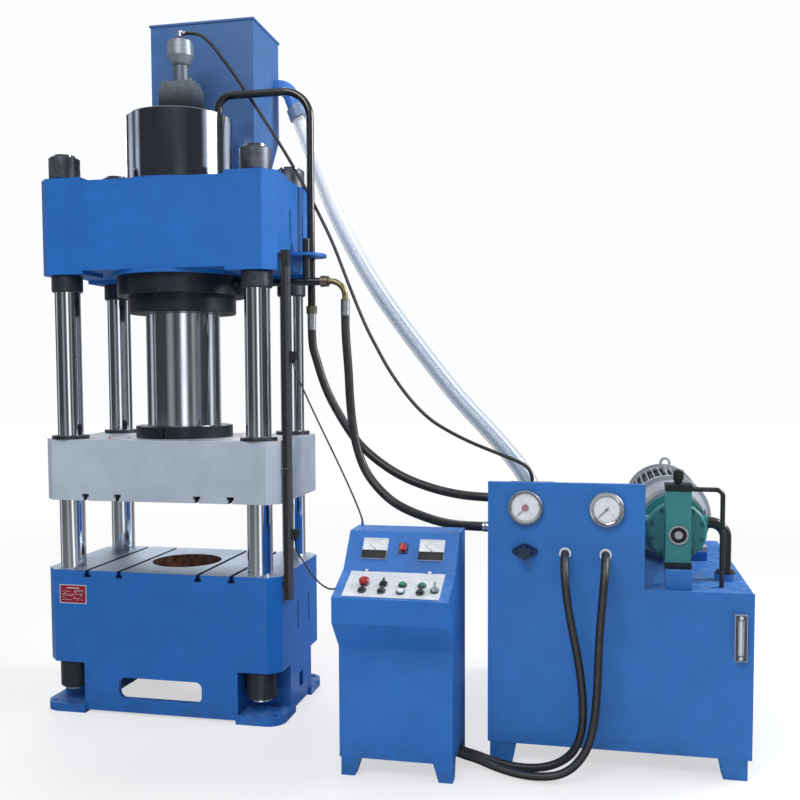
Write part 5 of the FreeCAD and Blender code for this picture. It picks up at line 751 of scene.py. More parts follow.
def slideFinish():
    # ragged lines of primer on top: rings round the ram and the columns, and a border
    finish = Finish("slide_paint", {"Coat Roughness": 0.25})
    right, back, up = finish.axes()
    sizes = slideSizes
    skin = paintSkin(finish, slideGrey, 0.42, 0.15, 0.7)
    inside = abs(back) < sizes["halfDepth"] - skim
    # painted shade: the T-slots are darker inside than the underside
    shadedSlots = slotMask(finish) * (up < sizes["bottom"] + tee["deep"]) * inside
    skin = overlay(finish, skin, Skin(tone(70, 74, 82), 0.4, 0.6), shadedSlots)
    face = steelSkin(finish, tone(150, 156, 166), 0.3, (0.25, 9, 9), 0.4, 0.85)
    under = (up < sizes["bottom"] + skim) * (0 - finish.facing()[2]).rise(0.5, 0.9)
    skin = overlay(finish, skin, face, under)
    ragged = finish.noise(16, 4) * sizes["ragged"]
    radius = finish.across() + ragged
    corner = finish.distance(abs(right) - sizes["columnX"], abs(back) - sizes["columnY"])
    rings = radius.near(sizes["ring"], sizes["ringHalf"])
    rings = rings.most(radius.near(sizes["outerRing"], sizes["lineHalf"]))
    rings = rings.most((corner + ragged).near(sizes["cornerRing"], sizes["lineHalf"]))
    border = (abs(right) + ragged).near(sizes["borderX"], sizes["borderHalf"])
    border = border.most((abs(back) + ragged).near(sizes["borderY"], sizes["borderHalf"]))
    lines = (up > sizes["top"] - skim) * rings.most(border) * finish.noise(11, 3).rise(0.36, 0.5)
    skin = overlay(finish, skin, Skin(tone(150, 84, 78), 0.6), lines)
    return made(finish, skin, 0.1)


pumpPlace = {"x": 2.665, "z": 1.098, "front": -0.500, "boxDepth": 0.110, "low": 0.967,
             "high": 1.301, "capEdge": 0.002, "rim": -0.3975, "headStart": 0.09,
             "headSide": 0.062, "headClear": 0.1, "dial": 0.0445, "dialRing": 0.0365,
             "dialHub": 0.0185, "dialProud": 0.0004}


def fromShaft(finish):  # distance from the axis that pump, bell and motor share
    right, up = finish.axes()[::2]
    return finish.distance(right - pumpPlace["x"], up - pumpPlace["z"])


def pumpFinish():
    finish = Finish("pump_paint", paintFixed)
    right, back, up = finish.axes()
    place, ring = pumpPlace, fromShaft(finish)
    skin = paintSkin(finish, pumpGreen, 0.32, 0.25)
    skin.height = skin.height + finish.noise(70, 4) * 0.0004
    box = back < place["front"] + place["boxDepth"]
    cap = (up > place["high"] - place["capEdge"]) + (up < place["low"] + place["capEdge"])
    skin = overlay(finish, skin, blackSkin(finish, tone(30, 34, 40), 0.4, 0.3), cap.least(1) * box)
    heads = box * (back > place["front"] + place["headStart"]) * (ring > place["headClear"])
    heads = heads * (abs(right - place["x"]) > place["headSide"]) * (back < place["rim"])
    skin.tint(finish, tone(24, 84, 84), heads)
    dial = (back < place["front"] - place["dialProud"]) * (ring < place["dial"])
    skin = overlay(finish, skin, Skin(tone(28, 34, 40), 0.35, 0.2), dial)
    bright = dial * ((ring > place["dialRing"]) + (ring < place["dialHub"])).least(1)
    skin = overlay(finish, skin, steelSkin(finish, tone(196, 202, 208), 0.25), bright)
    return made(finish, skin, 0.1)


motorPlace = {"finStart": 0.159, "finEnd": 0.690, "rear": 0.820, "finRoot": 0.183,
              "finTop": 0.199, "grille": 0.19}


def motorFinish():
    finish = Finish("motor_paint", paintFixed)
    back = finish.axes()[1]
    place, spread = motorPlace, fromShaft(finish)
    skin = paintSkin(finish, tone(168, 175, 186), 0.38, 0.3)
    # painted shade: dark between the cooling fins
    shadedValley = (back > place["finStart"]) * (back < place["finEnd"])
    shadedValley = shadedValley * spread.fall(place["finRoot"], place["finTop"])
    skin = overlay(finish, skin, Skin(tone(34, 38, 44), 0.6, 0.1), shadedValley * 0.94)
    skin.tint(finish, tone(96, 102, 112), back > place["finEnd"])
    grille = (back > place["rear"]) * (spread < place["grille"])
    skin.tint(finish, tone(40, 43, 48), grille)
    return made(finish, skin, 0.1)


bellRing = {"radius": 0.158, "half": 0.006}


def bellFinish():
    finish = Finish("bell_paint", paintFixed)
    skin = paintSkin(finish, tone(142, 149, 158), 0.4, 0.3)
    skin.tint(finish, tone(108, 114, 124),
              fromShaft(finish).near(bellRing["radius"], bellRing["half"]))
    return made(finish, skin, 0.1)


prefillPlace = {"fadeLow": 3.34, "fadeHigh": 3.47, "neck": 3.575, "neckHalf": 0.01,
                "lid": 3.6985, "fitting": 3.7275}


def prefillFinish():
    finish = Finish("prefill_valve_steel", {"Coat Roughness": 0.2})
    up = finish.axes()[2]
    skin = blackSkin(finish, tone(34, 38, 46), 0.34, 0.5)
    # painted light and shade: black at the bottom, fading up to pale steel at the top as light falls on the block
    paintedLight = steelSkin(finish, tone(104, 112, 122), 0.4, (1, 1, 1), 0.4, 0.5)
    paintedLightFade = (up + finish.noise(9, 3) * 0.02).rise(prefillPlace["fadeLow"], prefillPlace["fadeHigh"])
    return made(finish, overlay(finish, skin, paintedLight, paintedLightFade), 0.1)


def headFinish():
    finish = Finish("prefill_head_steel")
    up = finish.axes()[2]
    place = prefillPlace
    skin = steelSkin(finish, tone(142, 152, 162), 0.36, (0.1, 0.1, 6), 0.4, 0.55)
    neck = up.fall(place["neck"] - place["neckHalf"], place["neck"] + place["neckHalf"])
    skin.tint(finish, tone(96, 104, 116), neck)
    lid = (up > place["lid"]) * (up < place["fitting"])
    skin = overlay(finish, skin, blackSkin(finish, tone(52, 56, 64), 0.4, 0.4), lid)
    bright = steelSkin(finish, tone(206, 210, 216), 0.2)
    return made(finish, overlay(finish, skin, bright, up > place["fitting"]))


nutPlace = {"wearAndLitLow": 2.0, "wearAndLitHigh": 2.9, "tips": 3.04}


def nutFinish():
    finish = Finish("column_nut_oxide", {"Coat Roughness": 0.2})
    up = finish.axes()[2]
    skin = blackSkin(finish, tone(46, 50, 58), 0.36, 0.5)
    worn = finish.noise(13, 5, (1, 1, 0.5)).rise(0.42, 0.66)
    # the worn patches fade out downwards: real wear, with painted light on the upper nuts and painted shade on the
    # lower ones under the crown
    worn = worn * up.rise(nutPlace["wearAndLitLow"], nutPlace["wearAndLitHigh"])
    bare = steelSkin(finish, tone(104, 110, 122), 0.38, (0.1, 0.1, 5), 0.5, 0.7)
    skin = overlay(finish, skin, bare, worn * 0.85)
    tips = (up > nutPlace["tips"]) * finish.facing()[2].rise(0.6, 0.9)
    skin = overlay(finish, skin, steelSkin(finish, tone(116, 118, 122), 0.42), tips)
    return made(finish, skin, 0.1)


railPlace = {"leg": 0.7085, "legTop": 2.4, "holeX": 0.7, "holeZ": 0.7, "holePitch": 0.15,
             "hole": 0.0045}


def railFinish():
    finish = Finish("rail_paint", {"Coat Roughness": 0.2})
    right, up = finish.axes()[::2]
    place = railPlace
    skin = blackSkin(finish, tone(27, 28, 32), 0.34, 0.1)
    # painted light: the right-hand leg is lighter grey, as its lit side
    leg = (right > place["leg"]) * (up < place["legTop"])
    skin.tint(finish, tone(74, 78, 86), leg * 0.7)
    # painted shade: near-black dots stand in for the rail's holes
    middle = finish.distance(right - place["holeX"], (up - place["holeZ"]).wrapped(place["holePitch"]))
    skin.tint(finish, tone(8, 8, 10), middle < place["hole"])
    return made(finish, skin, 0.3)


panelPlace = {"front": -0.590, "proud": 0.0004, "grommetX": (2.154, 2.337), "grommetZ": 1.012,
              "grommet": 0.032, "reliefX": 1.969, "reliefZ": 1.015, "reliefWide": 0.6,
              "relief": 0.05}


def panelFinish():
    finish = Finish("gauge_panel_paint", paintFixed)
    right, back, up = finish.axes()
    place = panelPlace
    skin = paintSkin(finish, unitBlue)
    proud = back < place["front"] - place["proud"]
    left, far = [finish.distance(right - x, up - place["grommetZ"]) for x in place["grommetX"]]
    skin = overlay(finish, skin, mouldedSkin(finish, tone(226, 230, 238)),
                   proud * (left.least(far) < place["grommet"]))
    relief = finish.distance((right - place["reliefX"]) * place["reliefWide"], up - place["reliefZ"])
    skin = overlay(finish, skin, blackSkin(finish, tone(24, 52, 96), 0.34, 0.3),
                   proud * (relief < place["relief"]))
    return made(finish, skin, 0.1)


elbowPlace = {"run": 0.342, "drop": 0.940, "end": -3.0576, "collar": 0.082}


def elbowFinish():
    finish = Finish("elbow_paint_and_collar", paintFixed)
    right, up = finish.axes()[::2]
    skin = paintSkin(finish, tone(64, 118, 194), 0.36, 0.2)
    along = right * elbowPlace["run"] - up * elbowPlace["drop"]
    collar = steelSkin(finish, tone(120, 138, 168), 0.42, (1, 1, 5), 0.7, 0.3)
    skin = overlay(finish, skin, collar, along > elbowPlace["end"] - elbowPlace["collar"])
    return made(finish, skin, 0.1)


pipePlace = {"x": 0.207, "y": 0.060, "nut": 0.06, "top": 3.3}


def pipesFinish():
    finish = Finish("pipe_paint", {"Coat Roughness": 0.14})
    skin = blackSkin(finish, tone(22, 24, 29), 0.24, 0.2)
    nut = finish.across(pipePlace["x"], pipePlace["y"]) < pipePlace["nut"]
    nut = nut * (finish.axes()[2] < pipePlace["top"])
    skin = overlay(finish, skin, steelSkin(finish, tone(186, 192, 200), 0.24), nut)
    return made(finish, skin, 0.6)


pumpPipePlace = {"x": 2.900, "y": -0.270, "foot": 0.07, "top": 0.8838}


def pumpPipesFinish():
    finish = Finish("pump_pipe_paint", {"Coat Roughness": 0.14})
    skin = blackSkin(finish, tone(24, 26, 30), 0.26, 0.1)
    foot = finish.across(pumpPipePlace["x"], pumpPipePlace["y"]) < pumpPipePlace["foot"]
    foot = foot * (finish.axes()[2] < pumpPipePlace["top"])
    skin = overlay(finish, skin, paintSkin(finish, unitBlue), foot)
    return made(finish, skin, 0.5)


plateSizes = {"x": -0.502, "z": 0.652, "front": -0.372, "printed": -0.3715, "halfWidth": 0.0755,
              "halfHeight": 0.0475, "corner": 0.006, "rivetX": 0.0725, "rivetZ": 0.0445,
              "rivet": (0.0028, 0.0012), "rivetTip": 0.0016, "sides": 16, "ink": 0.0003,
              "lift": 0.0001, "title": (0.075, 0.0045), "titleUp": 0.034, "rows": 8,
              "rowTop": 0.0225, "rowPitch": 0.0078, "left": -0.064, "last": 0.058,
              "right": 0.062, "stroke": (0.006, 0.024), "tall": 0.0020, "gap": 0.005,
              "filled": 0.72, "seed": 5}


def plateFinish():
    finish = Finish("nameplate_print", {"Coat Roughness": 0.1})
    right, back, up = finish.axes()
    plate, bend = plateSizes, plateSizes["corner"]
    fine = finish.noise(300, 2)
    red = finish.mix(tone(126, 14, 32), tone(150, 22, 42), finish.noise(8, 3))
    aside, above = abs(right - plate["x"]), abs(up - plate["z"])
    inside = (aside < plate["halfWidth"]) * (above < plate["halfHeight"])
    corner = finish.distance((aside - (plate["halfWidth"] - bend)).most(0),
                             (above - (plate["halfHeight"] - bend)).most(0))
    inside = inside * (corner < bend) * (back < plate["printed"])
    color = finish.mix(tone(186, 192, 204), red, inside)
    return made(finish, Skin(color, 0.26 + fine * 0.08, 0.1, fine * 0.00002), 0.4)


levelSizes = {"x": 2.931, "front": -0.6, "side": 0.0242, "low": 0.5558, "high": 0.7612,
              "glass": 0.012, "glassLow": 0.578, "glassHigh": 0.739, "marksFrom": 0.58,
              "markPitch": 0.004, "mark": 0.0006, "markSide": 0.004, "screwY": -0.6138,
              "screwZ": (0.5665, 0.7505), "steps": 24,
              "screw": [(0, 0.0062), (0.0045, 0.0058), (0.0082, 0.0040), (0.0092, 0.0012),
                        (0.0092, -0.001), (0, -0.001)]}


def levelFinish():
    finish = Finish("level_glass_frame", {"Coat Roughness": 0.1})
    right, back, up = finish.axes()
    level = levelSizes
    skin = steelSkin(finish, tone(78, 84, 98), 0.4, (1, 1, 0.3), 0.4, 0.5)
    side = abs(right - level["x"])
    rim = ((side > level["side"]) + (up < level["low"]) + (up > level["high"])).least(1)
    skin.tint(finish, tone(176, 184, 196), rim)
    window = (side < level["glass"]) * (up > level["glassLow"]) * (up < level["glassHigh"])
    marks = (up - level["marksFrom"]).wrapped(level["markPitch"]) < level["mark"]
    color = finish.mix(tone(206, 212, 220), tone(70, 72, 80), marks * (side > level["markSide"]))
    skin = overlay(finish, skin, Skin(color, 0.16), window * (back < level["front"]))
    return made(finish, skin, 0.4)


powerPlace = {"x": 1.415, "half": 0.03, "back": -0.7790, "up": 0.6271, "drum": 1.2155}


def powerFinish():
    finish = Finish("power_switch_plastic", {"Coat Roughness": 0.12})
    back, up = finish.axes()[1:]
    lift = back * powerPlace["back"] + up * powerPlace["up"]
    skin = mouldedSkin(finish, tone(176, 26, 40))
    skin = overlay(finish, skin, mouldedSkin(finish, tone(26, 27, 31)), lift < powerPlace["drum"])
    return made(finish, skin, 0.3)


def metersFinish():
    finish = Finish("meter_case_plastic", {"Coat Roughness": 0.12})
    switch = abs(finish.axes()[0] - powerPlace["x"]) < powerPlace["half"]
    skin = mouldedSkin(finish, tone(206, 210, 222))
    skin = overlay(finish, skin, mouldedSkin(finish, tone(22, 26, 40)), switch)
    return made(finish, skin, 0.1)


fittingPlace = {"between": 0.8, "upperNut": 2.18, "lowerNut": 0.873, "tail": 2.24}


def fittingFinish():
    finish = Finish("fitting_steel")
    right, up = finish.axes()[::2]
    place = fittingPlace
    skin = steelSkin(finish, tone(172, 178, 184), 0.28, (1, 1, 1), 0.5)
    nuts = (up > place["upperNut"]) * (right < place["between"])
    nuts = nuts + (right < place["lowerNut"]) * (right > place["between"])
    skin = overlay(finish, skin, steelSkin(finish, tone(112, 104, 92), 0.36, (1, 1, 1), 0.6, 0.8),
                   nuts.least(1))
    tail = (right > place["lowerNut"]) * (up > place["tail"])
    skin = overlay(finish, skin, steelSkin(finish, tone(138, 132, 98), 0.3, (1, 1, 1), 0.6, 0.9), tail)
    return made(finish, skin)


def stripeOn(finish):
    return finish.keep("stripe", lambda: finish.node(
        "ShaderNodeAttribute", {"attribute_name": "stripe"}, None, 2))


hosePaintedLight = {"low": 2.1, "high": 3.0, "coreLow": 2.2, "coreHigh": 2.9}


def clearHoseFinish():
    finish = Finish("hose_clear", {"Coat Roughness": 0.08, "IOR": 1.3})
    weave = finish.noise(190, 3)
    # painted light: the hose is whiter towards the top, and a painted highlight runs along one side
    paintedLight = finish.axes()[2].rise(hosePaintedLight["low"], hosePaintedLight["high"])
    paintedHighlight = stripeOn(finish).near(0.35, 0.16)
    color = finish.mix(tone(176, 190, 208), tone(238, 242, 245), paintedLight)
    color = finish.mix(color, tone(246, 248, 250), paintedHighlight * 0.8)
    alpha = 0.34 + weave * 0.16 + paintedHighlight * 0.3 - paintedLight * 0.08
    return made(finish, Skin(color, 0.12 + weave * 0.1, 0.0, weave * 0.00006), 0.5, alpha)


def hoseCoreFinish():
    finish = Finish("hose_core", {"Coat Roughness": 0.2})
    weave = finish.noise(120, 4).rise(0.4, 0.62)
    # painted light: the core is whiter towards the top
    paintedLight = finish.axes()[2].rise(hosePaintedLight["coreLow"], hosePaintedLight["coreHigh"])
    color = finish.mix(tone(156, 172, 196), tone(188, 198, 212), weave)
    color = finish.mix(color, tone(228, 233, 238), paintedLight)
    # painted highlight: a thin white line along one side
    color = finish.mix(color, tone(250, 251, 253), stripeOn(finish).near(0.92, 0.05))
    return made(finish, Skin(color, 0.35 + weave * 0.15, 0.1, weave * 0.0002), 0.2)


def ribbedFinish():
    finish = Finish("conduit_rubber", {"Coat Roughness": 0.3})
    fine = finish.noise(260, 3)
    dusty = finish.noise(12, 4).rise(0.5, 0.75)
    color = finish.mix(tone(18, 19, 22), tone(38, 39, 42), fine.rise(0.35, 0.7))
    # painted highlight: a lighter line along the upper side, with dust patches spread over the tube
    color = finish.mix(color, tone(92, 92, 96), stripeOn(finish).rise(0.86, 0.99) * 0.25 + dusty * 0.1)
    return made(finish, Skin(color, 0.4 + fine * 0.1, 0.0, fine * 0.00005), 0.2)


# every node of the model gets its finish

unitPaint = plainPaint("unit_paint", unitBlue)
tankPaint = plainPaint("tank_paint", tone(64, 104, 160), 0.36, 0.2, 1.6)
consolePaint = plainPaint("console_paint", tone(36, 104, 182), 0.4, 0.25, 0.8)
columnChrome = chromeFinish("column_chrome", (0.85, 0.90, 0.98, 1), 0.05)
ramChrome = chromeFinish("ram_chrome", (0.80, 0.86, 0.95, 1), 0.06, 0.08)
blackOxide = blackFinish("black_oxide", tone(40, 45, 53), 0.32, 0.6, 0.15)
darkSteel = steelFinish("dark_steel", tone(92, 96, 104), 0.3)
brightSteel = steelFinish("bright_steel", tone(186, 190, 196), 0.2)
blackMoulded = mouldedFinish("black_moulded", tone(24, 25, 28))
redMoulded = mouldedFinish("red_moulded", tone(150, 28, 40), 0.25)
greenMoulded = mouldedFinish("green_moulded", tone(40, 112, 84), 0.3)
whiteMoulded = mouldedFinish("white_moulded", tone(214, 218, 226), 0.3)
reliefMoulded = mouldedFinish("relief_moulded", tone(22, 40, 70), 0.3)
hoseRubber = rubberFinish()

dressing = {
    "bed": bedFinish(), "crown": crownFinish(), "slide": slideFinish(), "columns": columnChrome,
    "column_nuts": nutFinish(), "main_cylinder": cylinderFinish(), "cylinder_ring": blackOxide,
    "gland_ring": blackOxide, "prefill_valve": prefillFinish(), "prefill_head": headFinish(),
    "filling_tank": tankPaint, "return_elbow": elbowFinish(), "press_pipes": pipesFinish(),
    "hose_fittings": fittingFinish(), "limit_rod": railFinish(), "limit_switches": blackMoulded,
    "nameplate": plateFinish(), "ram": ramChrome, "ram_flange": blackOxide,
    "guide_bushes": darkSteel, "striker": brightSteel, "upper_switch_lever": brightSteel,
    "lower_switch_lever": brightSteel, "console_cabinet": consolePaint,
    "console_deck": deckFinish(), "console_door": consolePaint, "panel_meters": metersFinish(),
    "meter_needle_left": blackMoulded, "meter_needle_right": blackMoulded,
    "control_bezels": darkSteel, "power_switch": powerFinish(), "stop_button": redMoulded,
    "mode_selector": blackMoulded, "start_button": greenMoulded,
    "pressing_button": greenMoulded, "push_button_1": blackMoulded,
    "push_button_2": blackMoulded, "push_button_3": whiteMoulded,
    "push_button_4": blackMoulded, "lever_selector": brightSteel, "oil_tank": unitPaint,
    "gauge_panel": panelFinish(), "gauge_cases": brightSteel, "gauge_needle_left": redMoulded,
    "gauge_needle_right": blackMoulded, "relief_knob": reliefMoulded, "motor": motorFinish(),
    "motor_rotor": darkSteel, "bell_housing": bellFinish(), "pump": pumpFinish(),
    "pump_handwheel": blackMoulded, "pump_pipes": pumpPipesFinish(), "valve_block": blackOxide,
    "level_gauge": levelFinish(),
}
for name, material in dressing.items():
    nodes[name].material_slots[0].material = material
cordCovers = {"return_hose": [clearHoseFinish(), hoseCoreFinish()]}
cordCovers["conduit_left"] = cordCovers["conduit_right"] = [ribbedFinish()]
for name, cord in cords.items():
    for material in cordCovers.get(name, [hoseRubber]):
        cord.data.materials.append(material)
print("finishes on,", len(dressing), "nodes")


# small pieces made here, each riding the body it sits on

# the record's slot that each finish of a new piece stands for
slotOf = {"card_white": "white_plastic", "print_black": "black_paint", "print_red": "red_plastic",
          "bezel_chrome": "chrome", "meter_black": "black_plastic", "lens_clear": "clear_tube",
          "worn_brass": "bright_steel", "pale_steel": "bright_steel", "bright_steel": "bright_steel",
          "plate_white": "white_plastic"}
tiny = 0.00001  # corners this near are one


def newPiece(name, shape, body, material):
    mesh = meshOf(name, shape)
    mesh.shade_smooth()
    mesh.set_sharp_from_angle(angle=math.radians(35))
    mesh.materials.append(material)
    thing = shown(name, mesh)
    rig.ride(thing, body)
    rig.slot(thing, slotOf[material.name.split(".")[0]])


def turnProfile(shape, profile, place, steps):
    # corners are (radius, height) round the local z axis
    corners = [shape.verts.new((radius, 0, height)) for radius, height in profile]
    edges = [shape.edges.new(pair) for pair in zip(corners, corners[1:])]
    spun = bmesh.ops.spin(shape, geom=corners + edges, cent=(0, 0, 0), axis=(0, 0, 1), steps=steps,
                          angle=math.tau, use_merge=True, use_duplicate=False)
    ring = {part for part in spun["geom_last"] if isinstance(part, bmesh.types.BMVert)} | set(corners)
    linked = list(ring)
    seen = set(linked)
    while linked:
        corner = linked.pop()
        for edge in corner.link_edges:
            other = edge.other_vert(corner)
            if other not in seen:
                seen.add(other)
                linked.append(other)
    bmesh.ops.remove_doubles(shape, verts=list(seen), dist=tiny)
    kept = [corner for corner in seen if corner.is_valid]
    faces = list({face for corner in kept for face in corner.link_faces})
    bmesh.ops.recalc_face_normals(shape, faces=faces)
    bmesh.ops.transform(shape, matrix=place, verts=kept)


def soften(shape, edges, width):
    bmesh.ops.bevel(shape, geom=edges, offset=width, offset_type="OFFSET", segments=2,
                    profile=0.5, affect="EDGES", material=-1)


def addBlock(shape, size, place, bevel=0.0):
    block = bmesh.ops.create_cube(shape, size=1, matrix=place @ Matrix.Diagonal((*size, 1)))
    if bevel:
        soften(shape, list({edge for corner in block["verts"] for edge in corner.link_edges}), bevel)


def addRod(shape, radius, height, place, sides, tip=None, chamfer=0.0):
    # stands on its local origin
    rod = bmesh.ops.create_cone(shape, cap_ends=True, segments=sides, radius1=radius,
                                radius2=radius if tip is None else tip, depth=height,
                                matrix=place @ at(0, 0, height / 2))
    if chamfer:
        inverse = place.inverted()
        rim = [edge for edge in {edge for corner in rod["verts"] for edge in corner.link_edges}
               if all((inverse @ corner.co).z > height - tiny for corner in edge.verts)]
        soften(shape, rim, chamfer)


def at(x, y, z):
    return Matrix.Translation((x, y, z))


def spunAbout(degrees, axis="Z"):
    return Matrix.Rotation(math.radians(degrees), 4, axis)


wordInk = {"thick": 0.00012, "steps": 3}


def addWords(shape, words, height, place):
    line = bpy.data.curves.new("words", "FONT")
    line.body = words
    line.size = height
    line.align_x = "CENTER"
    line.align_y = "CENTER"
    line.extrude = wordInk["thick"]
    line.resolution_u = wordInk["steps"]
    holder = shown("words", line)
    mesh = evaluated(holder)
    mesh.transform(place)
    shape.from_mesh(mesh)
    bpy.data.objects.remove(holder)
    bpy.data.curves.remove(line)
    bpy.data.meshes.remove(mesh)


def faceAt(x, y, z):  # a frame on an upright face that looks to the front: its z comes out
    return Matrix(((1, 0, 0, x), (0, 0, -1, y), (0, 1, 0, z), (0, 0, 0, 1)))


def slopeAt(origin, rise):  # a frame on a sloping console face
    lift, run = math.sin(math.radians(rise)), math.cos(math.radians(rise))
    x, y, z = origin
    return Matrix(((1, 0, 0, x), (0, run, -lift, y), (0, lift, run, z), (0, 0, 0, 1)))


# pressure gauges: card, bezel, scale and lens

gauges = {
    "left": {"place": (1.971, -0.590, 1.221), "top": 25, "step": 5, "small": 5, "ring": 0.0600},
    "right": {"place": (2.340, -0.590, 1.221), "top": 40, "step": 10, "small": 4, "ring": 0.0560},
}
gaugeFace = {"card": 0.0142, "cardRadius": 0.0715, "sheet": 0.0003, "sweep": 270, "start": 225,
             "tickOut": 0.0520, "major": (0.0075, 0.0009), "minor": (0.004, 0.0005),
             "bezelOut": 0.0727, "bezelFront": 0.0246, "bezelBack": 0.0150, "lipOut": 0.0012,
             "lipUp": 0.0022, "rim": 0.003, "lens": 0.0222, "lensIn": 0.0045,
             "lensThick": 0.0012, "words": 0.0085, "wordsAt": 0.0370, "sides": 64, "steps": 72}
cardWhite = mouldedFinish("card_white", tone(222, 226, 232), 0.4, 0.00002, 0.0)
printBlack = mouldedFinish("print_black", tone(34, 36, 44), 0.5, 0.00001, 0.0)
printRed = mouldedFinish("print_red", tone(176, 40, 48), 0.5, 0.00001, 0.0)
bezelChrome = chromeFinish("bezel_chrome", (0.74, 0.77, 0.82, 1), 0.09)
meterBlack = mouldedFinish("meter_black", tone(18, 19, 22), 0.55, 0.00002, 0.0)
lensClear = mouldedFinish("lens_clear", tone(235, 240, 246), 0.03, 0.0, 0.0, 0.1)


def gaugeDial(side):
    gauge, face = gauges[side], gaugeFace
    base = faceAt(*gauge["place"])
    shape = bmesh.new()
    addRod(shape, face["cardRadius"], face["sheet"], base @ at(0, 0, face["card"]), face["sides"])
    newPiece("gauge_card_" + side, shape, "frame", cardWhite)
    shape = bmesh.new()
    inner, outer = gauge["ring"], face["bezelOut"]
    turnProfile(shape, [(inner, face["bezelBack"]),
                        (inner + face["lipOut"], face["bezelBack"] + face["lipUp"]),
                        (outer - face["rim"], face["bezelFront"]), (outer, face["bezelFront"]),
                        (outer, face["bezelBack"]), (inner, face["bezelBack"])],
                base, face["steps"])
    newPiece("gauge_bezel_" + side, shape, "frame", bezelChrome)
    shape = bmesh.new()
    level = face["card"] + face["sheet"]
    marks = gauge["top"] // gauge["step"]
    small = marks * gauge["small"]
    for index in range(small + 1):
        length, width = face["minor"] if index % gauge["small"] else face["major"]
        turned = spunAbout(face["start"] - face["sweep"] * index / small)
        addBlock(shape, (length, width, face["sheet"]),
                 base @ turned @ at(face["tickOut"] - length / 2, 0, level))
    for index in range(marks + 1):
        angle = math.radians(face["start"] - face["sweep"] * index / marks)
        words = at(face["wordsAt"] * math.cos(angle), face["wordsAt"] * math.sin(angle), level)
        addWords(shape, str(index * gauge["step"]), face["words"], base @ words)
    newPiece("gauge_scale_" + side, shape, "frame", printBlack)
    shape = bmesh.new()
    addRod(shape, outer - face["lensIn"], face["lensThick"], base @ at(0, 0, face["lens"]),
           face["sides"])
    newPiece("gauge_lens_" + side, shape, "frame", lensClear)


for side in gauges:
    gaugeDial(side)
print("gauge dials made")


# panel meters: card, arc scale, numbers and black cover

panelFace = slopeAt((1.145, -0.787, 0.941), 51.165)
meters = {"left": {"x": 0.137, "top": 50, "step": 10}, "right": {"x": 0.406, "top": 500, "step": 100}}
meterFace = {"low": 0.053, "black": 0.042, "pin": 0.050, "card": 0.0091, "width": 0.1085,
             "height": 0.0585, "gap": 0.0002, "sheet": 0.0003, "ink": 0.0002, "lift": 0.0001,
             "arc": 0.043, "sweep": 100, "small": 5, "major": (0.005, 0.0007),
             "minor": (0.003, 0.0004), "line": 0.0006, "overlap": 1.04, "redFrom": 0.8,
             "words": 0.0066, "wordsIn": 0.0085, "wordsWide": 1.04}
meterCover = {"width": 0.1172, "thick": 0.0026, "out": 0.0144, "edge": 0.0009, "screwX": 0.046,
              "screwDown": 0.011, "screwOut": 0.0013, "screw": 0.0034, "screwTall": 0.0012,
              "screwTip": 0.003, "sides": 16}
meterLens = {"size": (0.1084, 0.0585, 0.001), "up": 0.0294, "out": 0.0135}


def meterDial(side):
    meter, face, cover = meters[side], meterFace, meterCover
    cardLow = face["low"] + face["black"]
    base = panelFace @ at(meter["x"], 0, 0)
    shape = bmesh.new()
    addBlock(shape, (face["width"], face["height"], face["sheet"]),
             base @ at(0, cardLow + face["height"] / 2 + face["gap"], face["card"] + face["sheet"] / 2))
    newPiece("meter_card_" + side, shape, "frame", cardWhite)
    pin = base @ at(0, face["low"] + face["pin"], face["card"] + face["sheet"])
    black, red = bmesh.new(), bmesh.new()
    marks = meter["top"] // meter["step"]
    small = marks * face["small"]
    for index in range(small + 1):
        length, width = face["minor"] if index % face["small"] else face["major"]
        angle = 90 + face["sweep"] / 2 - face["sweep"] * index / small
        addBlock(black, (length, width, face["ink"]),
                 pin @ spunAbout(angle) @ at(face["arc"] + length / 2, 0, face["lift"]))
        if index < small:
            middle = angle - face["sweep"] / small / 2
            span = face["arc"] * math.radians(face["sweep"] / small) * face["overlap"]
            addBlock(red if index >= small * face["redFrom"] else black,
                     (face["line"], span, face["ink"]),
                     pin @ spunAbout(middle) @ at(face["arc"], 0, face["lift"]))
    radius = face["arc"] - face["wordsIn"]
    for index in range(marks + 1):
        angle = math.radians(90 + face["sweep"] / 2 - face["sweep"] * index / marks)
        words = at(radius * math.cos(angle) * face["wordsWide"], radius * math.sin(angle),
                   face["lift"])
        addWords(black, str(index * meter["step"]), face["words"], pin @ words)
    newPiece("meter_scale_" + side, black, "frame", printBlack)
    newPiece("meter_red_" + side, red, "frame", printRed)
    shape = bmesh.new()
    middle = base @ at(0, face["low"] + face["black"] / 2, cover["out"])
    addBlock(shape, (cover["width"], face["black"], cover["thick"]), middle, cover["edge"])
    for x in (-cover["screwX"], cover["screwX"]):
        addRod(shape, cover["screw"], cover["screwTall"],
               middle @ at(x, -cover["screwDown"], cover["screwOut"]), cover["sides"],
               cover["screwTip"])
    newPiece("meter_cover_" + side, shape, "frame", meterBlack)
    shape = bmesh.new()
    addBlock(shape, meterLens["size"], base @ at(0, cardLow + meterLens["up"], meterLens["out"]))
    newPiece("meter_lens_" + side, shape, "frame", lensClear)


for side in meters:
    meterDial(side)
print("meter dials made")


# fittings, plates and small hardware

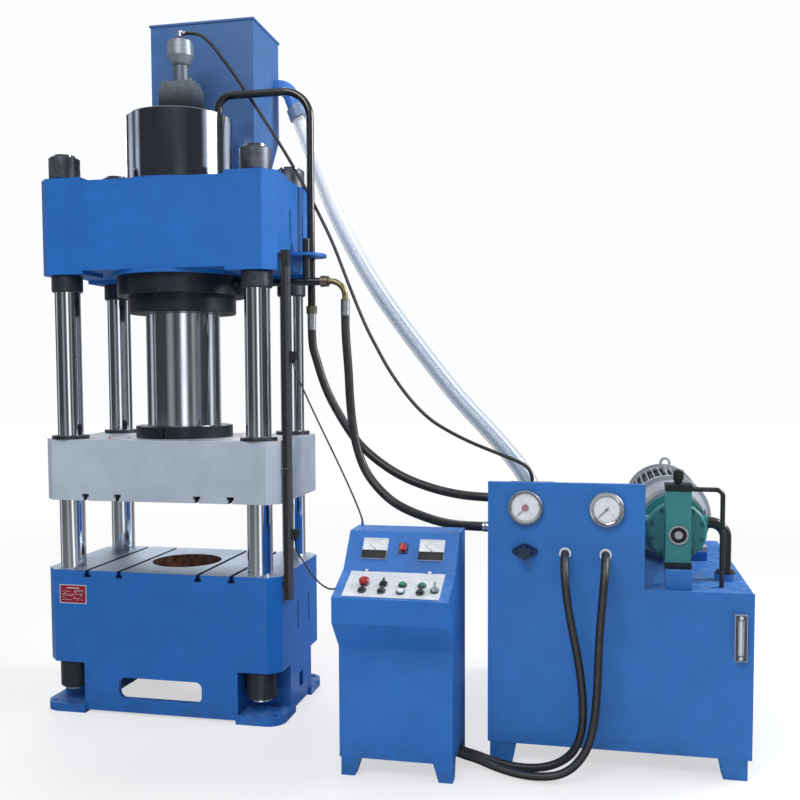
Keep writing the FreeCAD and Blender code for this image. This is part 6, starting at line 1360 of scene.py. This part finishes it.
hoseEndSizes = {"across": 0.0535, "tall": 0.020, "chamfer": 0.0015,
                "hexagons": [((0.738, 0.060, 2.2008), (0, 0, 1)),
                             ((0.8295, -0.060, 2.345), (1, 0, 0))],
                "ferruleBack": 0.078, "steps": 32,
                "ferrule": [(0.0229, 0), (0.0252, 0.002), (0.0252, 0.014), (0.0244, 0.016),
                            (0.0252, 0.018), (0.0252, 0.034), (0.0244, 0.036), (0.0252, 0.038),
                            (0.0252, 0.052), (0.0229, 0.054), (0.0229, 0)]}


def lyingAlong(place, ahead):
    return Matrix.Translation(place) @ Vector(ahead).to_track_quat("Z", "Y").to_matrix().to_4x4()


def hoseEnds():
    # hexagons and crimped ferrules where the hoses meet the pipes and the panel
    sizes = hoseEndSizes
    shape = bmesh.new()
    for place, ahead in sizes["hexagons"]:
        addRod(shape, sizes["across"] / math.sqrt(3), sizes["tall"], lyingAlong(place, ahead), 6,
               None, sizes["chamfer"])
    newPiece("hose_hexagons", shape, "frame", wornBrass)
    shape = bmesh.new()
    for name in ("pressure_hose_upper", "pressure_hose_lower"):
        x, y, z = cordPoints[name][-1]
        turnProfile(shape, sizes["ferrule"], lyingAlong((x - sizes["ferruleBack"], y, z), (1, 0, 0)),
                    sizes["steps"])
    newPiece("hose_ferrules", shape, "frame", brightSteel)


def nameplateRules():
    # four rivets, a blank title bar and rows of short blank strokes, with no words
    plate = plateSizes
    base = faceAt(plate["x"], plate["front"], plate["z"])
    shape = bmesh.new()
    for side in (-1, 1):
        for up in (-1, 1):
            addRod(shape, *plate["rivet"], base @ at(side * plate["rivetX"], up * plate["rivetZ"], 0),
                   plate["sides"], plate["rivetTip"])
    newPiece("nameplate_rivets", shape, "frame", brightSteel)
    shape = bmesh.new()
    draw = random.Random(plate["seed"])
    addBlock(shape, (*plate["title"], plate["ink"]), base @ at(0, plate["titleUp"], plate["lift"]))
    for row in range(plate["rows"]):
        left, height = plate["left"], plate["rowTop"] - row * plate["rowPitch"]
        while left < plate["last"]:
            length = draw.uniform(*plate["stroke"])
            if draw.random() < plate["filled"]:
                kept = min(length, plate["right"] - left)
                addBlock(shape, (kept, plate["tall"], plate["ink"]),
                         base @ at(left + kept / 2, height, plate["lift"]))
            left += length + plate["gap"]
    newPiece("nameplate_strokes", shape, "frame", plateWhite)


tabSizes = {"size": (0.034, 0.014, 0.003), "place": (0.7005, -0.3005, 1.352), "edge": 0.0008}


def railTab():
    shape = bmesh.new()
    addBlock(shape, tabSizes["size"], at(*tabSizes["place"]), tabSizes["edge"])
    newPiece("rail_tab", shape, "frame", brightSteel)


def levelScrews():
    # round head bolts above and below the sight glass
    shape = bmesh.new()
    for height in levelSizes["screwZ"]:
        place = at(levelSizes["x"], levelSizes["screwY"], height) @ spunAbout(90, "X")
        turnProfile(shape, levelSizes["screw"], place, levelSizes["steps"])
    newPiece("level_screws", shape, "frame", paleSteel)


paleSteel = steelFinish("pale_steel", tone(204, 208, 214), 0.45, (1, 1, 1), 0.3, 0.25)
wornBrass = steelFinish("worn_brass", tone(128, 116, 96), 0.34, (1, 1, 1), 0.6, 0.85)
plateWhite = mouldedFinish("plate_white", tone(196, 190, 200), 0.4, 0.00002, 0.0)

hoseEnds()
nameplateRules()
railTab()
levelScrews()
print("fittings and plate made")


# floor, backdrop and lights

lamps = {
    "front": {"place": (0.4, -6.4, 7.6), "aim": (0.9, 0.0, 1.2), "size": 4.0, "watts": 400},
    "side": {"place": (7.4, 1.0, 5.2), "aim": (0.6, 0.0, 2.2), "size": 3.2, "watts": 560},
    "rear": {"place": (-2.5, 6.0, 5.8), "aim": (0.8, 0.3, 1.5), "size": 4.0, "watts": 260},
}
# bright strips that metal mirrors: (turn from the camera, half width, level)
lowStrips = [(0.0, 0.27, 1.35), (0.0, 0.75, 0.16), (0.52, 0.2, 0.35), (-0.72, 0.36, 0.3),
             (1.66, 0.24, 0.9), (-1.98, 0.3, 0.6), (2.75, 0.4, 0.5), (-2.8, 0.3, 0.45)]
highStrips = [(1.15, 0.4, 1.1), (2.11, 0.36, 1.0), (-1.82, 0.2, 0.9), (-2.3, 0.34, 0.9),
              (0.0, 0.8, 0.08)]
roomGlow = {"toward": -1.138, "dark": 0.05, "ceiling": 0.5, "ceilingLow": 0.4,
            "ceilingHigh": 0.9, "ambient": 0.44, "turnLow": 0.13, "turnHigh": 0.17,
            "color": (0.97, 0.985, 1, 1)}
floorLook = {"half": 30, "color": (0.8, 0.81, 0.82, 1), "rough": 0.6, "mirrorX": 0.3,
             "farX": 1.0, "farLow": 3.5, "farHigh": 9.0, "near": 0.6, "mirrored": 0.85}


def mirroredGlow(net, east, north, strips):
    turn = net.node("ShaderNodeMath", {"operation": "WRAP"},
                    {0: north.sum("ARCTAN2", north, east) - roomGlow["toward"], 1: math.pi, 2: -math.pi})
    glow = turn * 0 + roomGlow["dark"]
    for middle, width, level in strips:
        glow = glow.most(abs(turn - middle).fall(0, width) * level)
    return glow


def makeFloor():
    look = floorLook
    shape = bmesh.new()
    bmesh.ops.create_grid(shape, x_segments=1, y_segments=1, size=look["half"])
    mesh = meshOf("floor", shape)
    floor = shown("floor", mesh)
    finish = Finish("floor_white")
    path = finish.node("ShaderNodeLightPath").socket.node.outputs
    camera, glossy = [Wire(finish, path[name]) for name in ("Is Camera Ray", "Is Glossy Ray")]
    right, back = finish.axes()[:2]
    level = camera + glossy * mirroredGlow(finish, right - look["mirrorX"], back, lowStrips)
    glow = finish.node("ShaderNodeEmission", None, {"Color": (1, 1, 1, 1), "Strength": level})
    finish.surface(look["color"], look["rough"])
    output = finish.tree.nodes["Material Output"]
    body = Wire(finish, finish.shader.outputs[0])
    far = finish.across(look["farX"]).rise(look["farLow"], look["farHigh"])
    share = camera * (look["near"] + far * (1 - look["near"])) + glossy * look["mirrored"]
    both = finish.node("ShaderNodeMixShader", None, {0: share, 1: body, 2: glow})
    finish.join(both, output.inputs["Surface"])
    mesh.materials.append(finish.material)
    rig.stage(floor)


def lightRoom():
    world = bpy.data.worlds.new("room")
    scene.world = world
    world.use_nodes = True
    room = Net(world.node_tree)
    path = room.node("ShaderNodeLightPath").socket.node.outputs
    camera, glossy, through = [Wire(room, path[name]) for name in
                               ("Is Camera Ray", "Is Glossy Ray", "Is Transmission Ray")]
    east, north, up = room.parts(room.node("ShaderNodeTexCoord", out="Generated"))
    high = up.rise(roomGlow["turnLow"], roomGlow["turnHigh"])
    ceiling = up.rise(roomGlow["ceilingLow"], roomGlow["ceilingHigh"]) * roomGlow["ceiling"]
    level, lifted = [mirroredGlow(room, east, north, strips) for strips in (lowStrips, highStrips)]
    mirrored = (level + (lifted - level) * high).most(ceiling)
    seen = camera.most(through)
    level = seen + (1 - seen) * (glossy * mirrored + (1 - glossy) * roomGlow["ambient"])
    background = world.node_tree.nodes["Background"]
    room.join(roomGlow["color"], background.inputs["Color"])
    room.join(level, background.inputs["Strength"])
    for name, lamp in lamps.items():
        light = bpy.data.lights.new("lamp_" + name, "AREA")
        light.size = lamp["size"]
        light.energy = lamp["watts"]
        holder = shown("lamp_" + name, light)
        turn = (Vector(lamp["aim"]) - Vector(lamp["place"])).to_track_quat("-Z", "Y")
        holder.matrix_world = Matrix.Translation(lamp["place"]) @ turn.to_matrix().to_4x4()
    scene.view_settings.view_transform = "Standard"


makeFloor()
lightRoom()
print("floor and light made")

json.dump({"loaded": loadedBox, "final": [list(corner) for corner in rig.bounds()]},
          open("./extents.json", "w"))
